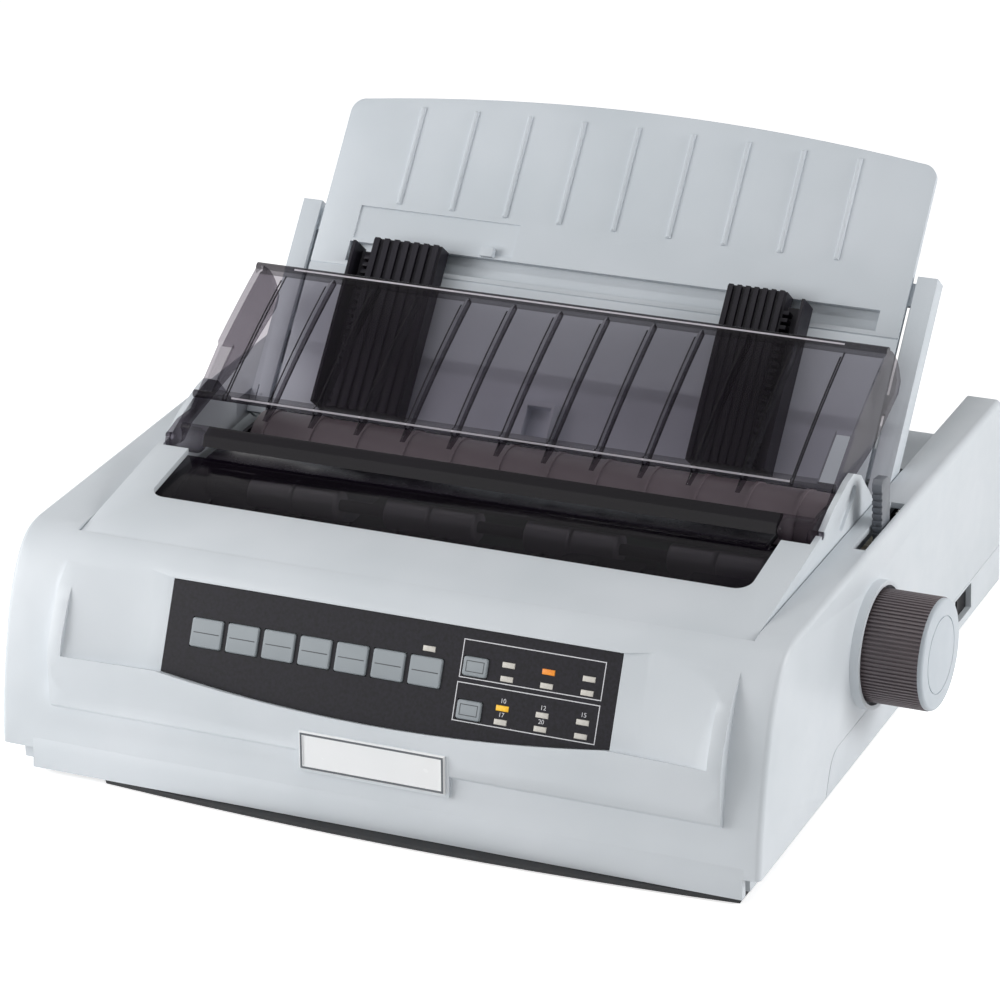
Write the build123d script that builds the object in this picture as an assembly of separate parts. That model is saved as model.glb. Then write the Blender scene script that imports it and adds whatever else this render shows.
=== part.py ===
"""Dot matrix printer, built piece by piece, in millimetres.

Working frame: x = 0 on the middle of the print line and +X to the platen knob, y = 0 just in
front of the housing and +Y to the rear, z = 0 on the table. Every piece is moved once, when it
is written, so that the origin ends at the bottom centre of the whole printer.
"""
from build123d import *
from math import atan2, cos, degrees, hypot, pi, radians, sin
import os

# ---------------------------------------------------------------- fits
fit = 0.05            # radial clearance of a shaft that turns in a hole
gap = 0.3             # clearance between pieces that slide past or rest on each other
seam = 0.7            # width of an open moulding seam

# ---------------------------------------------------------------- housing
left_wall = 203.7     # print centre to the outer face of the left wall
right_wall = 194.3    # print centre to the outer face of the right wall
rear_face = 350.0
wall_top = 115.0
wall = 3.0
wing_foot_y = 9.4     # front of the wings at their lower edge
wing_foot_z = 14.0
wing_top_y = 60.0     # where the wings reach their full height
wing_round = 3.0      # rounding between the wings' tops and sides
wing_curve = [(15.0, 47.0), (21.5, 70.0), (30.0, 91.5), (42.0, 108.0)]
side_seam_y = 94.0    # the side seam climbs behind this place
side_seam_run = 18.0
side_seam_z = 34.0
opening_half = 176.3  # half width of the top opening
return_depth = 13.0   # depth of the return flanges round the opening
return_wall = 2.5
deck_front = 303.0
deck_drop = 24.0      # rear deck below the wall tops

# raised front moulding between the wings
bulge_half = 175.0
bulge_foot = (10.4, 39.5)
bulge_curve = [(13.8, 71.6), (19.0, 81.5), (28.5, 95.7), (38.7, 104.6)]
seam_front_y = 53.0   # front edge of the access cover
seam_front_z = 113.1
apron_half = 186.0
apron_front_y = 8.0
apron_bottom = 4.0

# operator panel, on its own tilted plane
panel_top = (39.3, 103.1)
panel_bottom = (19.4, 62.9)
panel_half = 117.0
panel_bow = 8.0       # lower edge bows down this far in the middle
panel_thick = 2.0
scoop_half = 168.0
scoop_rise = 6.6      # how far the scoops come forward at their outer ends
scoop_lift = 9.0      # how far the scoops' upper edges climb at their outer ends
key_width = 16.6
key_height = 13.9
key_first_x = -95.3
key_pitch = 19.25
key_count = 7
key_down = 23.4       # panel's top edge to the middle of the key row
small_key_width = 12.4
small_key_height = 9.0
small_key_x = 45.0
small_key_rows = [17.4, 37.8]
key_proud = 1.2
key_flange = 1.0
light_width = 6.5
light_height = 2.7
light_columns = [61.3, 81.5, 101.9]
light_rows = [14.1, 20.6, 34.3, 40.8]
ready_light = (20.3, 12.6)

# name plate, left bare
plate_width = 76.0
plate_height = 19.5
plate_thick = 1.4
plate_x = -0.8
plate_z = 39.8
plate_lean = 4.0
plate_seat = 10.2     # y of the pad under the plate's middle

# ---------------------------------------------------------------- lower housing, pan and feet
pan_thick = 2.6
foot_height = 1.0
foot_radius = 9.0
floor_thick = 3.0
tray_inset = 8.0

# ---------------------------------------------------------------- access cover
cover_half = opening_half - seam
cover_slope = 9.1     # degrees
cover_thick = 3.0
cover_rear = 133.5    # rear end of the cover's top plate
window_half = 158.0
window_front = 90.5
window_corner = 8.0
window_thick = 2.0
cover_pivot = (205.0, 110.0)
cover_pin = 3.0       # radius
arm_crest = (185.0, 141.0)
pocket_depth = 1.6

# ---------------------------------------------------------------- smoked cover
smoke_pivot = (143.0, 126.5)
smoke_pin = 2.0       # radius
boss_radius = 6.5     # round bosses about the smoked cover's pins
boss_reach = 4.0      # they reach this far in over the window
smoke_rod = (168.1, 141.0)
smoke_middle = (198.0, 158.8)
smoke_top = (243.5, 181.6)
smoke_thick = 2.2
smoke_skirt = 2.0
smoke_notch_y = 196.0
smoke_notch_half = 162.7
fin_count = 11
fin_pitch = 25.4
fin_middle = -2.2     # the middle fin stands this far to the left of the print centre
fin_thick = 1.3
fin_depth = 4.5

# ---------------------------------------------------------------- sheet separator
sheet_rail_top = (306.9, 197.1)   # a point of the separator's front face, level with its rails' tops
sheet_slope = 49.1    # degrees
panel_sheet_half = 162.5
panel_sheet_top = 57.0
panel_sheet_arch = 67.0
panel_sheet_foot = -118.0
panel_sheet_thick = 3.0
rail_gap = 0.7        # between the rails and the opening's sides
rail_half = opening_half - rail_gap
rail_inner = 165.0
rail_depth = 10.0
rail_foot = -121.0
rib_count = 9
rib_pitch = 30.3
slot_left = -143.0
slot_right = 150.0
slot_low = -33.0
slot_high = -22.0
sheet_pivot = (236.0, 111.0)
sheet_pin = 3.0
guide_low = -115.0
guide_high = -22.0
guide_height = 12.0
left_guide = (-134.0, -125.0, -86.0)   # outer edge, fence's inner edge, inner edge
right_guide = (115.5, 104.0, 72.0)

# ---------------------------------------------------------------- platen, knob and gears
platen_y = 158.5
platen_z = 66.0
platen_radius = 18.0
platen_half = 152.0
shaft_radius = 5.0
knob_radius = 27.6
knob_start = 195.6
knob_face = 229.0
knob_ribs = 84
knob_cap_thick = 2.6
collar_radius = 31.5
collar_depth = 4.5
gear_module = 1.0
gear_start = 170.0
gear_width = 8.0
platen_teeth = 40
idler_teeth = 65
tractor_teeth = 37
pinion_teeth = 12
tractor_y = 262.0
pinion_z = 33.0

# ---------------------------------------------------------------- frame, carriage and belt
frame_in = 165.0      # inner face of the side frames
frame_thick = 2.0
frame_front = 62.0
frame_rear = 306.0
frame_height = 104.0
frame_rear_height = 86.0
beam_z = 34.0
beam_front = 66.0
beam_rear = 100.0
rail_lip = 14.0
slide_y = 112.0
slide_z = 50.0
slide_radius = 5.0
carriage_x = 102.0    # where the carriage is parked
carriage_half = 26.0
pulley_x = 147.0
pulley_y = 84.0
pulley_radius = 8.0
belt_thick = 1.4
belt_low = 38.0
belt_width = 5.0
motor_radius = 15.0

# ---------------------------------------------------------------- bail
bail_back = 4.7       # the bail stands this far behind the platen's axis
bail_play = 0.6       # the rollers' gap to the platen, for the sheet
bail_shaft = 3.0
flap_height = 9.8     # the flaps behind the rollers stand this far above them
roller_radius = 8.4
roller_width = 24.0
bail_y = platen_y + bail_back
bail_z = platen_z + ((platen_radius + roller_radius + bail_play) ** 2 - bail_back ** 2) ** 0.5
roller_centres = [-127.0, -101.6, -50.8, -25.4, 25.4, 50.8, 101.6, 127.0]
bail_pivot = (182.0, 90.0)
bail_arm_in = 160.0
bail_arm_thick = 3.0

# ---------------------------------------------------------------- paper chute and tractors
chute_y = 212.0
chute_z = 93.6
chute_radius = 20.0
chute_half = 158.0
ring_first = -151.3
ring_pitch = 26.5
ring_count = 12
tractor_x = 118.0
tractor_half = 11.0
tractor_front = 248.0
tractor_rear = 304.0
tractor_low = 54.0
tractor_top = 84.0
tractor_shaft_radius = 5.6
rod_y = 290.0
rod_radius = 4.0

# ---------------------------------------------------------------- lever and switch
lever_x = 187.5
lever_thick = 5.0
lever_pivot = (190.0, 68.0)
lever_pin = 3.0
lever_top = 139.5
slot_front = 158.0
slot_rear = 214.0
switch_front = 280.0
switch_rear = 305.0
switch_low = 18.5
switch_high = 32.5
rocker_tilt = 8.0     # the rocker stands this many degrees off its middle, switched off

# ---------------------------------------------------------------- rear
entry_half = 150.0
entry_low = 60.0
entry_high = 86.0
vent_low = 44.0
vent_high = 54.0
inlet_x = 110.0
port_x = -110.0

floor_low = foot_height + pan_thick
floor_top = floor_low + floor_thick


# ================================================================ helpers
def slab(x0, x1, y0, y1, z0, z1):
    """A block between two corners."""
    return Pos((x0 + x1) / 2, (y0 + y1) / 2, (z0 + z1) / 2) * Box(x1 - x0, y1 - y0, z1 - z0)


def across(face, x0, x1):
    """A side outline, drawn in (y, z), extruded along the printer's width."""
    return Pos(x0, 0, 0) * extrude(Plane.YZ * face, amount=x1 - x0, dir=(1, 0, 0))


def raised(face, height):
    """An outline drawn in (x, y), extruded upwards."""
    return extrude(face, amount=height, dir=(0, 0, 1))


def shape(*points):
    """A straight-sided outline."""
    return Polygon(*points, align=None)


def curved(*curves):
    """An outline from curves that join end to end."""
    return make_face([edge for curve in curves for edge in curve.edges()])


def bar(x0, x1, y, z, radius):
    """A round bar along X."""
    return Pos(x0, y, z) * Rot(0, 90, 0) * Cylinder(radius, x1 - x0, align=(Align.CENTER, Align.CENTER, Align.MIN))


def post(x, y, z0, z1, radius):
    """An upright round bar."""
    return Pos(x, y, z0) * Cylinder(radius, z1 - z0, align=(Align.CENTER, Align.CENTER, Align.MIN))


def mirrored(piece):
    """The piece and its mirror image across the print centre, as separate solids."""
    return [piece, mirror(piece, about=Plane.YZ)]


def group(pieces):
    """Separate solids that share a node."""
    return Compound(children=[solid for piece in pieces for solid in piece.solids()])


def tilted(origin, lean):
    """A plane across the printer: x along the width, y up the slope, z out of the face."""
    return Plane(origin=(0, *origin), x_dir=(1, 0, 0), z_dir=(0, -sin(radians(lean)), cos(radians(lean))))


panel_lean = degrees(atan2(panel_top[1] - panel_bottom[1], panel_top[0] - panel_bottom[0]))
panel_length = hypot(panel_top[1] - panel_bottom[1], panel_top[0] - panel_bottom[0])
panel_plane = tilted(panel_top, panel_lean)
sheet_plane = tilted(sheet_rail_top, sheet_slope)


def on_sheet(x0, x1, s0, s1, w0, w1):
    """A block on the separator: across, up its slope, and out of its face."""
    return sheet_plane.location * slab(x0, x1, s0, s1, w0, w1)


def sheet_point(s, w=0.0):
    """(y, z) of a point on the separator."""
    lean = radians(sheet_slope)
    return (sheet_rail_top[0] + s * cos(lean) - w * sin(lean), sheet_rail_top[1] + s * sin(lean) + w * cos(lean))


def cover_height(y):
    """Height of the access cover's top face."""
    return seam_front_z + (y - seam_front_y) * sin(radians(cover_slope)) / cos(radians(cover_slope))


# ================================================================ upper housing
def wing_outline(inset):
    """Side outline of the wings, and of the hollow inside them where an inset is given."""
    foot = (wing_foot_y + inset, wing_foot_z)
    crest = (wing_top_y + inset, wall_top - inset)
    middle = [(y + 0.9 * inset, z - 0.45 * inset) for y, z in wing_curve]
    front = Spline(foot, *middle, crest, tangents=[(0.12, 1), (1, 0.05)])
    rear = rear_face - inset
    if inset:
        rest = Polyline(crest, (rear, crest[1]), (rear, -wall), (foot[0], -wall), foot)
        return curved(front, rest)
    seam_end = side_seam_y + side_seam_run
    rest = Polyline(crest, (rear, crest[1]), (rear, side_seam_z), (seam_end, side_seam_z))
    climb = Spline((seam_end, side_seam_z), (side_seam_y, wing_foot_z), tangents=[(-1, 0), (-0.6, -1)])
    return curved(front, rest, climb, Line((side_seam_y, wing_foot_z), foot))


def bulge_outline():
    """Side outline of the raised moulding between the wings."""
    front = Spline(bulge_foot, *bulge_curve, (seam_front_y, seam_front_z), tangents=[(0.1, 1), (1, 0.25)])
    back = Polyline((seam_front_y, seam_front_z), (seam_front_y, wall_top - 3 * wall), (wing_foot_y + 5, bulge_foot[1] - 4),
                    bulge_foot)
    return curved(front, back)


def scoop_cutter():
    """The hollow round the operator panel, with its flared concave ends."""
    floor = curved(
        ThreePointArc((-scoop_half, scoop_rise), (-(scoop_half + panel_half) / 2, scoop_rise / 4), (-panel_half, 0)),
        Line((-panel_half, 0), (panel_half, 0)),
        ThreePointArc((panel_half, 0), ((scoop_half + panel_half) / 2, scoop_rise / 4), (scoop_half, scoop_rise)),
        Polyline((scoop_half, scoop_rise), (scoop_half, 40), (-scoop_half, 40), (-scoop_half, scoop_rise)),
    )
    reach = panel_length + panel_bow + 5
    across_panel = panel_plane.location * Pos(0, 20, 0) * Rot(90, 0, 0) * raised(floor, reach + 20)
    side = -panel_length
    face = curved(
        Polyline((panel_half, side), (scoop_half + 1, side - 1), (scoop_half + 1, scoop_lift), (panel_half, 0.4),
                 (-panel_half, 0.4), (-scoop_half - 1, scoop_lift), (-scoop_half - 1, side - 1), (-panel_half, side)),
        ThreePointArc((-panel_half, side), (0, side - panel_bow), (panel_half, side)),
    )
    window = panel_plane.location * Pos(0, 0, -1) * raised(face, 42)
    return across_panel & window


def panel_outline(shrink):
    """Outline of the operator panel on its plane."""
    half = panel_half - shrink
    low = -panel_length + shrink
    top = 0.4 - shrink
    return curved(
        Polyline((half, low), (half, top), (-half, top), (-half, low)),
        ThreePointArc((-half, low), (0, low - panel_bow), (half, low)),
    )


def knob_collar():
    """Round collar that hides the knob's root."""
    ring = bar(right_wall - 1, right_wall + collar_depth, platen_y, platen_z, collar_radius)
    return ring - bar(right_wall, right_wall + collar_depth + 1, platen_y, platen_z, knob_radius + 1.6)


def return_flanges():
    """Walls that turn down along both sides of the top opening."""
    flange = slab(opening_half, opening_half + return_wall, wing_top_y, rear_face - wall / 2,
                  wall_top - return_depth, wall_top - wall / 2)
    flange += slab(opening_half, opening_half + return_wall, deck_front, rear_face - wall / 2,
                   wall_top - deck_drop - wall, wall_top - wall / 2)
    return mirrored(flange)


def pin_holes():
    """Bores of both hinge axes through the return flanges."""
    cover_hole = bar(opening_half - 1, opening_half + return_wall + 1, *cover_pivot, cover_pin + fit)
    sheet_hole = bar(opening_half - 1, opening_half + return_wall + 1, *sheet_pivot, sheet_pin + fit)
    return mirrored(cover_hole) + mirrored(sheet_hole)


def on_pad(piece):
    """Moves a piece built about the name plate's middle to its leaning seat on the front."""
    return Pos(plate_x, plate_seat, plate_z) * Rot(-plate_lean, 0, 0) * piece


def name_plate_pad():
    """Flat pad that the name plate sits on."""
    half = plate_width / 2 + 1.6
    return on_pad(slab(-half, half, 0, 6, -plate_height / 2 - 1.6, plate_height / 2 + 1.6))


def vent_slots(x0, count, pitch, low, high):
    """A row of upright slots through the rear wall."""
    return [slab(x0 + i * pitch, x0 + i * pitch + 3, rear_face - 2 * wall, rear_face + 1, low, high) for i in range(count)]


def upper_housing():
    body = across(wing_outline(0), -left_wall, right_wall)
    ends = body.edges().filter_by(Plane.YZ).filter_by(lambda edge: edge.center().Z > wing_foot_z + 10)
    ends = ends.filter_by(lambda edge: edge.center().Y < rear_face - 5 and edge.center().Z > side_seam_z + 5)
    body = fillet(ends, wing_round)
    body += across(bulge_outline(), -bulge_half, bulge_half)
    apron = shape((apron_front_y, apron_bottom), (wing_foot_y, wing_foot_z), (wing_foot_y + 0.6, wing_foot_z + 5),
                  (wing_foot_y + wall + 2, wing_foot_z + 5), (wing_foot_y + wall + 2, apron_bottom))
    body += across(apron, -apron_half, apron_half)
    body += name_plate_pad()
    backing = panel_plane.location * slab(-bulge_half, bulge_half, -panel_length - panel_bow - 4, scoop_lift + 1, -wall - 2.6, 30)
    body -= across(wing_outline(wall), wall - left_wall, right_wall - wall) - backing
    ledge = shape((42, 99), (50, 110), (seam_front_y - 0.5, 110.5), (seam_front_y - 0.5, 106.5), (62, 106.5), (62, 104),
                  (48, 99))
    body += across(ledge, -opening_half, opening_half)
    body -= slab(-opening_half, opening_half, seam_front_y - seam, rear_face - wall, wall_top - 8.5, wall_top + 5)
    body -= scoop_cutter()
    for flange in return_flanges():
        body += flange
    for hole in pin_holes():
        body -= hole
    body += slab(-opening_half - 1, opening_half + 1, deck_front, rear_face - wall / 2,
                 wall_top - deck_drop - wall, wall_top - deck_drop)
    body -= slab(-opening_half, opening_half, deck_front - 1, rear_face + 1, wall_top - deck_drop, wall_top + 5)
    body += knob_collar()
    body -= bar(right_wall - wall - 1, right_wall + 2, platen_y, platen_z, 2 * shaft_radius)
    body += bar(lever_x - lever_thick / 2 - 1, right_wall - wall / 2, *lever_pivot, lever_pin)
    body -= slab(lever_x - lever_thick / 2 - 1, lever_x + lever_thick / 2 + 1, slot_front, slot_rear,
                 wall_top - wall - 1, wall_top + 1)
    body -= slab(-entry_half, entry_half, rear_face - 2 * wall, rear_face + 1, entry_low, entry_high)
    body -= slab(inlet_x - 15, inlet_x + 15, rear_face - 2 * wall, rear_face + 1, 10, 40)
    for slot in vent_slots(-140, 12, 8, vent_low, vent_high):
        body -= slot
    recess = panel_plane.location * Pos(0, 0, -panel_thick) * raised(panel_outline(0.0), panel_thick + 1)
    body -= recess
    bay = panel_plane.location * slab(-panel_half + 7, panel_half - 7, -panel_length + 1, -6, -30, 0)
    return body - bay


# ================================================================ lower housing, pan, feet
def lower_housing():
    seam_end = side_seam_y + side_seam_run
    climb = Spline((side_seam_y + seam, wing_foot_z), (seam_end + seam, side_seam_z - seam / 2),
                   tangents=[(0.6, 1), (1, 0)])
    side = curved(climb, Polyline((seam_end + seam, side_seam_z - seam / 2), (rear_face, side_seam_z - seam / 2),
                                  (rear_face, wing_foot_z), (side_seam_y + seam, wing_foot_z)))
    body = across(side, -left_wall, right_wall)
    body += slab(-left_wall + tray_inset, right_wall - tray_inset, wing_foot_y + 8, rear_face - 2 * wall,
                 floor_low, wing_foot_z + 0.5)
    body -= slab(-left_wall + wall, right_wall - wall, side_seam_y - 5, rear_face - wall,
                 wing_foot_z + wall, side_seam_z + 5)
    body -= slab(-left_wall + tray_inset + wall, right_wall - tray_inset - wall, wing_foot_y + 8 + wall,
                 rear_face - 3 * wall, floor_top, side_seam_z)
    body -= slab(right_wall - wall - 1, right_wall + 1, switch_front, switch_rear, switch_low, switch_high)
    body -= slab(inlet_x - 15, inlet_x + 15, rear_face - 4 * wall, rear_face + 1, wing_foot_z + 1, side_seam_z + 5)
    body -= slab(port_x - 32, port_x + 32, rear_face - 4 * wall, rear_face + 1, 16, 30)
    body -= slab(port_x + 44, port_x + 56, rear_face - 4 * wall, rear_face + 1, 16, 29)
    for x, y in board_posts():
        body += post(x, y, floor_top - 0.5, board_low, 3.5)
    return body


board_low = floor_top + 8.0
board_front = 116.0
board_rear = 338.0
board_left = -152.0
board_right = 60.0


def board_posts():
    """Places of the posts that carry the main board."""
    return [(x, y) for x in (board_left + 8, board_right - 8) for y in (board_front + 8, board_rear - 12)]


def base_pan():
    """Dark pan under the printer, with the bowed front lip that shows below the apron."""
    front_left = (-left_wall + 57, 10.0)
    front_right = (right_wall - 10, 10.0)
    rear = rear_face - 22
    plan = curved(
        ThreePointArc(front_left, (20, 2.6), front_right),
        Polyline(front_right, (front_right[0], rear), (-left_wall + 18, rear), (-left_wall + 18, 14),
                 (front_left[0] - 3, 14), front_left),
    )
    pan = Pos(0, 0, foot_height) * raised(plan, pan_thick)
    for i in range(9):
        x = -148 + i * 37
        pan -= Pos(x, 180, 0) * raised(SlotOverall(90, 6, rotation=90), 10)
    return pan


def rubber_feet():
    """Round feet under the pan's corners."""
    return group([post(x, y, 0, foot_height, foot_radius) for x in (-168, 168) for y in (34, 310)])


# ================================================================ operator panel
def key_places():
    """Middle and size of each key on the panel's plane, the long row first."""
    row = [(key_first_x + i * key_pitch, -key_down, key_width, key_height) for i in range(key_count)]
    return row + [(small_key_x, -down, small_key_width, small_key_height) for down in small_key_rows]


def light_places():
    places = [(x, -down) for down in light_rows for x in light_columns]
    return places + [(ready_light[0], -ready_light[1])]


def operator_panel():
    plate = panel_plane.location * Pos(0, 0, -panel_thick) * raised(panel_outline(gap), panel_thick)
    for x, y, width, height in key_places():
        plate -= panel_plane.location * slab(x - width / 2 - gap, x + width / 2 + gap, y - height / 2 - gap,
                                             y + height / 2 + gap, -5, 5)
    for x, y in light_places():
        plate -= panel_plane.location * slab(x - light_width / 2, x + light_width / 2, y - light_height / 2,
                                             y + light_height / 2, -5, 5)
    return plate


def status_lights():
    """One lens in each of the panel's small windows."""
    return group([panel_plane.location * slab(x - light_width / 2, x + light_width / 2, y - light_height / 2,
                                              y + light_height / 2, -panel_thick, 0.35) for x, y in light_places()])


def key(x, y, width, height):
    """A key cap with its softened rim and the flange that keeps it behind the panel."""
    cap = slab(x - width / 2, x + width / 2, y - height / 2, y + height / 2, -panel_thick - gap, key_proud)
    cap = fillet(cap.edges().filter_by(Axis.Z), 1.2)
    cap = chamfer(cap.faces().sort_by(Axis.Z)[-1].edges(), 0.5)
    cap += slab(x - width / 2 - key_flange, x + width / 2 + key_flange, y - height / 2 - key_flange,
                y + height / 2 + key_flange, -panel_thick - gap - 1.2, -panel_thick - gap)
    return panel_plane.location * cap


def name_plate():
    """Bare name plate with its raised rim."""
    half_width, half_height = plate_width / 2, plate_height / 2
    plate = slab(-half_width, half_width, -plate_thick, 0, -half_height, half_height)
    plate = chamfer(plate.faces().sort_by(Axis.Y)[0].edges(), 0.6)
    inset = slab(2 - half_width, half_width - 2, -plate_thick - 1, 0.4 - plate_thick, 2 - half_height, half_height - 2)
    return on_pad(plate - inset)


# ================================================================ access cover
def cover_outline():
    """Side outline of the access cover with its rising arms."""
    return shape(
        (seam_front_y, seam_front_z), (smoke_pivot[0], cover_height(smoke_pivot[0])), (smoke_pivot[0] + 14, 134),
        (arm_crest[0] - 8, arm_crest[1] - 1), arm_crest, (arm_crest[0] + 10, arm_crest[1] - 5),
        (cover_pivot[0] + 7, cover_pivot[1] + 6), (cover_pivot[0] + 6, cover_pivot[1] - 5),
        (cover_pivot[0] - 5, cover_pivot[1] - 6), (seam_front_y + 12, cover_pivot[1] - 2),
        (seam_front_y + 2, cover_pivot[1] - 2), (seam_front_y, cover_pivot[1]),
    )


def access_cover():
    body = across(cover_outline(), -cover_half, cover_half)
    inner = cover_half - 3.0
    under = shape(
        (seam_front_y + 3, cover_height(seam_front_y + 3) - cover_thick), (cover_rear, cover_height(cover_rear) - cover_thick),
        (cover_rear, cover_height(cover_rear) + 20), (cover_pivot[0] + 20, cover_height(cover_rear) + 20),
        (cover_pivot[0] + 20, 80), (seam_front_y + 3, 80),
    )
    body -= across(under, -inner, inner)
    rim = FilletPolyline((window_half, 90), (window_half, 0), (-window_half, 0), (-window_half, 90),
                         radius=window_corner)
    hole = Pos(0, window_front, 0) * raised(curved(rim, Line((-window_half, 90), (window_half, 90))), 200)
    body -= hole
    front_lip = slab(-inner, inner, seam_front_y + 2.5, seam_front_y + 5, 106.5 + gap, seam_front_z - 1)
    body += front_lip
    pocket_plane = Plane(origin=(cover_half, 176, 127), x_dir=(0, 0.86, 0.51), z_dir=(1, 0, 0))
    pocket = pocket_plane.location * Pos(0, 0, -pocket_depth) * raised(SlotOverall(26, 7), 3)
    for side in mirrored(pocket):
        body -= side
    for pin in mirrored(bar(cover_half - 1, opening_half + return_wall, *cover_pivot, cover_pin)):
        body += pin
    for bore in mirrored(bar(inner - 1, cover_half + 1, *smoke_pivot, smoke_pin + fit)):
        body -= bore
    return body


def access_window():
    """Smoked window held under the cover's opening."""
    low = cover_height(window_front - 4) - cover_thick
    length = cover_rear - window_front + 3
    sheet = slab(-window_half - 6, window_half + 6, 0, length / cos(radians(cover_slope)), -window_thick, 0)
    for i in range(11):
        x = (i - 5) * fin_pitch
        sheet += slab(x - 0.6, x + 0.6, 4.5, 11.5, -0.2, 0.8)
    return Pos(0, window_front - 4, low) * Rot(cover_slope, 0, 0) * sheet


# ================================================================ smoked cover
def smoke_arc(drop):
    """The cover's arched side line, lowered by drop."""
    return ThreePointArc((smoke_rod[0] + drop * 0.4, smoke_rod[1] - drop), (smoke_middle[0] + drop * 0.45, smoke_middle[1] - drop),
                         (smoke_top[0] + drop * 0.45, smoke_top[1] - drop))


def smoke_band(high, low):
    """Side outline of the band between two such lines."""
    top = smoke_arc(high)
    bottom = smoke_arc(low)
    return curved(top, Line(top @ 1, bottom @ 1), bottom, Line(bottom @ 0, top @ 0))


def skirt_outline():
    """Side outline of the smoked cover's skirt, with its rounded rear lobe."""
    y, z = smoke_top
    py, pz = smoke_pivot
    return curved(
        ThreePointArc((y, z), (y + 12, z - 10), (y + 17.5, z - 24)),
        Polyline((y + 17.5, z - 24), (y + 14, z - 29), (y - 21, z - 42.5), (py + 50, pz + 7.5), (py + 18, pz + 1),
                 (py + 8, pz - 5), (py - 6, pz - 4.5), (py - 8, pz + 1), (py - 6, pz + 4.5), (py + 6, pz + 7.5),
                 (py + 20, pz + 7), (smoke_notch_y, smoke_middle[1] - 3)),
        Line((smoke_notch_y, smoke_middle[1] - 3), (y, z)),
    )


def smoked_cover():
    half = cover_half - 3.0 - 0.6
    body = across(smoke_band(0, smoke_thick), -smoke_notch_half, smoke_notch_half)
    wide = across(smoke_band(0, smoke_thick), -half, half)
    body += wide & slab(-200, 200, smoke_notch_y, smoke_top[0] + 20, 100, 200)
    for i in range(fin_count):
        x = fin_middle + (i - (fin_count - 1) / 2) * fin_pitch
        fin = across(smoke_band(smoke_thick - 0.3, smoke_thick + fin_depth), x - fin_thick / 2, x + fin_thick / 2)
        hook = shape((smoke_rod[0] - 8, smoke_rod[1] - 7), (smoke_rod[0] + 4, smoke_rod[1] + 0.4),
                     (smoke_rod[0] + 6, smoke_rod[1] - 5.6), (smoke_rod[0] - 5, smoke_rod[1] - 8.5))
        body += fin + across(hook, x - fin_thick / 2, x + fin_thick / 2)
    body += bar(-half, half, smoke_rod[0], smoke_rod[1] - 1.0, 2.0)
    body += bar(-half, half, smoke_top[0], smoke_top[1] - 1.2, 2.4)
    skirt = across(skirt_outline(), half - smoke_skirt, half)
    boss = bar(window_half - boss_reach, half, *smoke_pivot, boss_radius)
    boss = fillet(boss.edges().filter_by(GeomType.CIRCLE), 0.6 * boss_radius)
    pin = bar(half - 0.5, cover_half - 0.4, *smoke_pivot, smoke_pin)
    for side in mirrored(skirt) + mirrored(boss) + mirrored(pin):
        body += side
    beam = shape((139, 125.5), (141.5, 130.5), (147.5, 133), (150, 131.5), (148.5, 130), (142.6, 128), (140.8, 124.8))
    body += across(beam, -half, half)
    return body


# ================================================================ sheet separator
def sheet_outline():
    """Face outline of the separator panel, with its arched top."""
    half = panel_sheet_half
    corner = 8.0
    return curved(
        Line((half, panel_sheet_foot), (half, panel_sheet_top - corner)),
        RadiusArc((half, panel_sheet_top - corner), (half - corner, panel_sheet_top), -corner),
        ThreePointArc((half - corner, panel_sheet_top), (0, panel_sheet_arch), (-half + corner, panel_sheet_top)),
        RadiusArc((-half + corner, panel_sheet_top), (-half, panel_sheet_top - corner), -corner),
        Polyline((-half, panel_sheet_top - corner), (-half, panel_sheet_foot), (half, panel_sheet_foot)),
    )


def separator_panel():
    panel = sheet_plane.location * Pos(0, 0, -panel_sheet_thick) * raised(sheet_outline(), panel_sheet_thick)
    panel -= on_sheet(slot_left, slot_right, slot_low, slot_high, -5, 5)
    panel -= on_sheet(-142, -51, -20, -2, -1, 5)
    panel -= on_sheet(-panel_sheet_half - 1, panel_sheet_half + 1, slot_low - 3.2, slot_low - 2.4, -0.6, 5)
    for i in range(rib_count):
        x = (i - (rib_count - 1) / 2) * rib_pitch
        top = panel_sheet_top - 3 + 4 * cos(radians(90 * x / panel_sheet_half))
        rib = slab(x - 1.3, x + 1.3, 1, top, -0.5, 1.6)
        rib = chamfer(rib.faces().sort_by(Axis.Z)[-1].edges(), 0.8)
        panel += sheet_plane.location * rib
    block = on_sheet(-28, -4, -117, -96, -0.5, 8)
    block -= on_sheet(-18.5, -5.5, -114.5, -98.5, 1.5, 9)
    panel += block
    panel += on_sheet(-68, -61, guide_high + gap, -17, -0.5, 3)
    return panel


def separator_frame():
    """Side rails and cross bars behind the panel, with the pins that the separator tilts on."""
    rail = on_sheet(rail_inner, rail_half, rail_foot, -2, -rail_depth, 0)
    rail -= on_sheet(rail_inner - 1, rail_half - 2.2, rail_foot - 1, -8, -rail_depth - 1, -2.6)
    rail += bar(rail_half - 6, opening_half + return_wall, *sheet_pivot, sheet_pin)
    rail -= bar(rail_half - 7, rail_half - 3, *sheet_pivot, sheet_pin + 3) - on_sheet(160, 172, -130, 0, -2.6, 4)
    body = group(mirrored(rail))
    back = -panel_sheet_thick
    bars = on_sheet(-rail_inner - 3, rail_inner + 3, -108, -92, back - 3, back)
    bars += on_sheet(-rail_inner - 3, rail_inner + 3, -17, -5, back - 3, back)
    for x in (-panel_sheet_half + 6, 0, panel_sheet_half - 6):
        bars += on_sheet(x - 4, x + 4, -108, -70, back - 6, back)
    bars += on_sheet(-rail_inner - 3, rail_inner + 3, -74, -64, back - 3, back)
    bars += on_sheet(slot_left - 5, slot_right + 5, slot_low - 8, -10, back - 4.6, back - 2.9)
    frame = bars
    for solid in body.solids():
        frame += solid
    return frame


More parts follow.
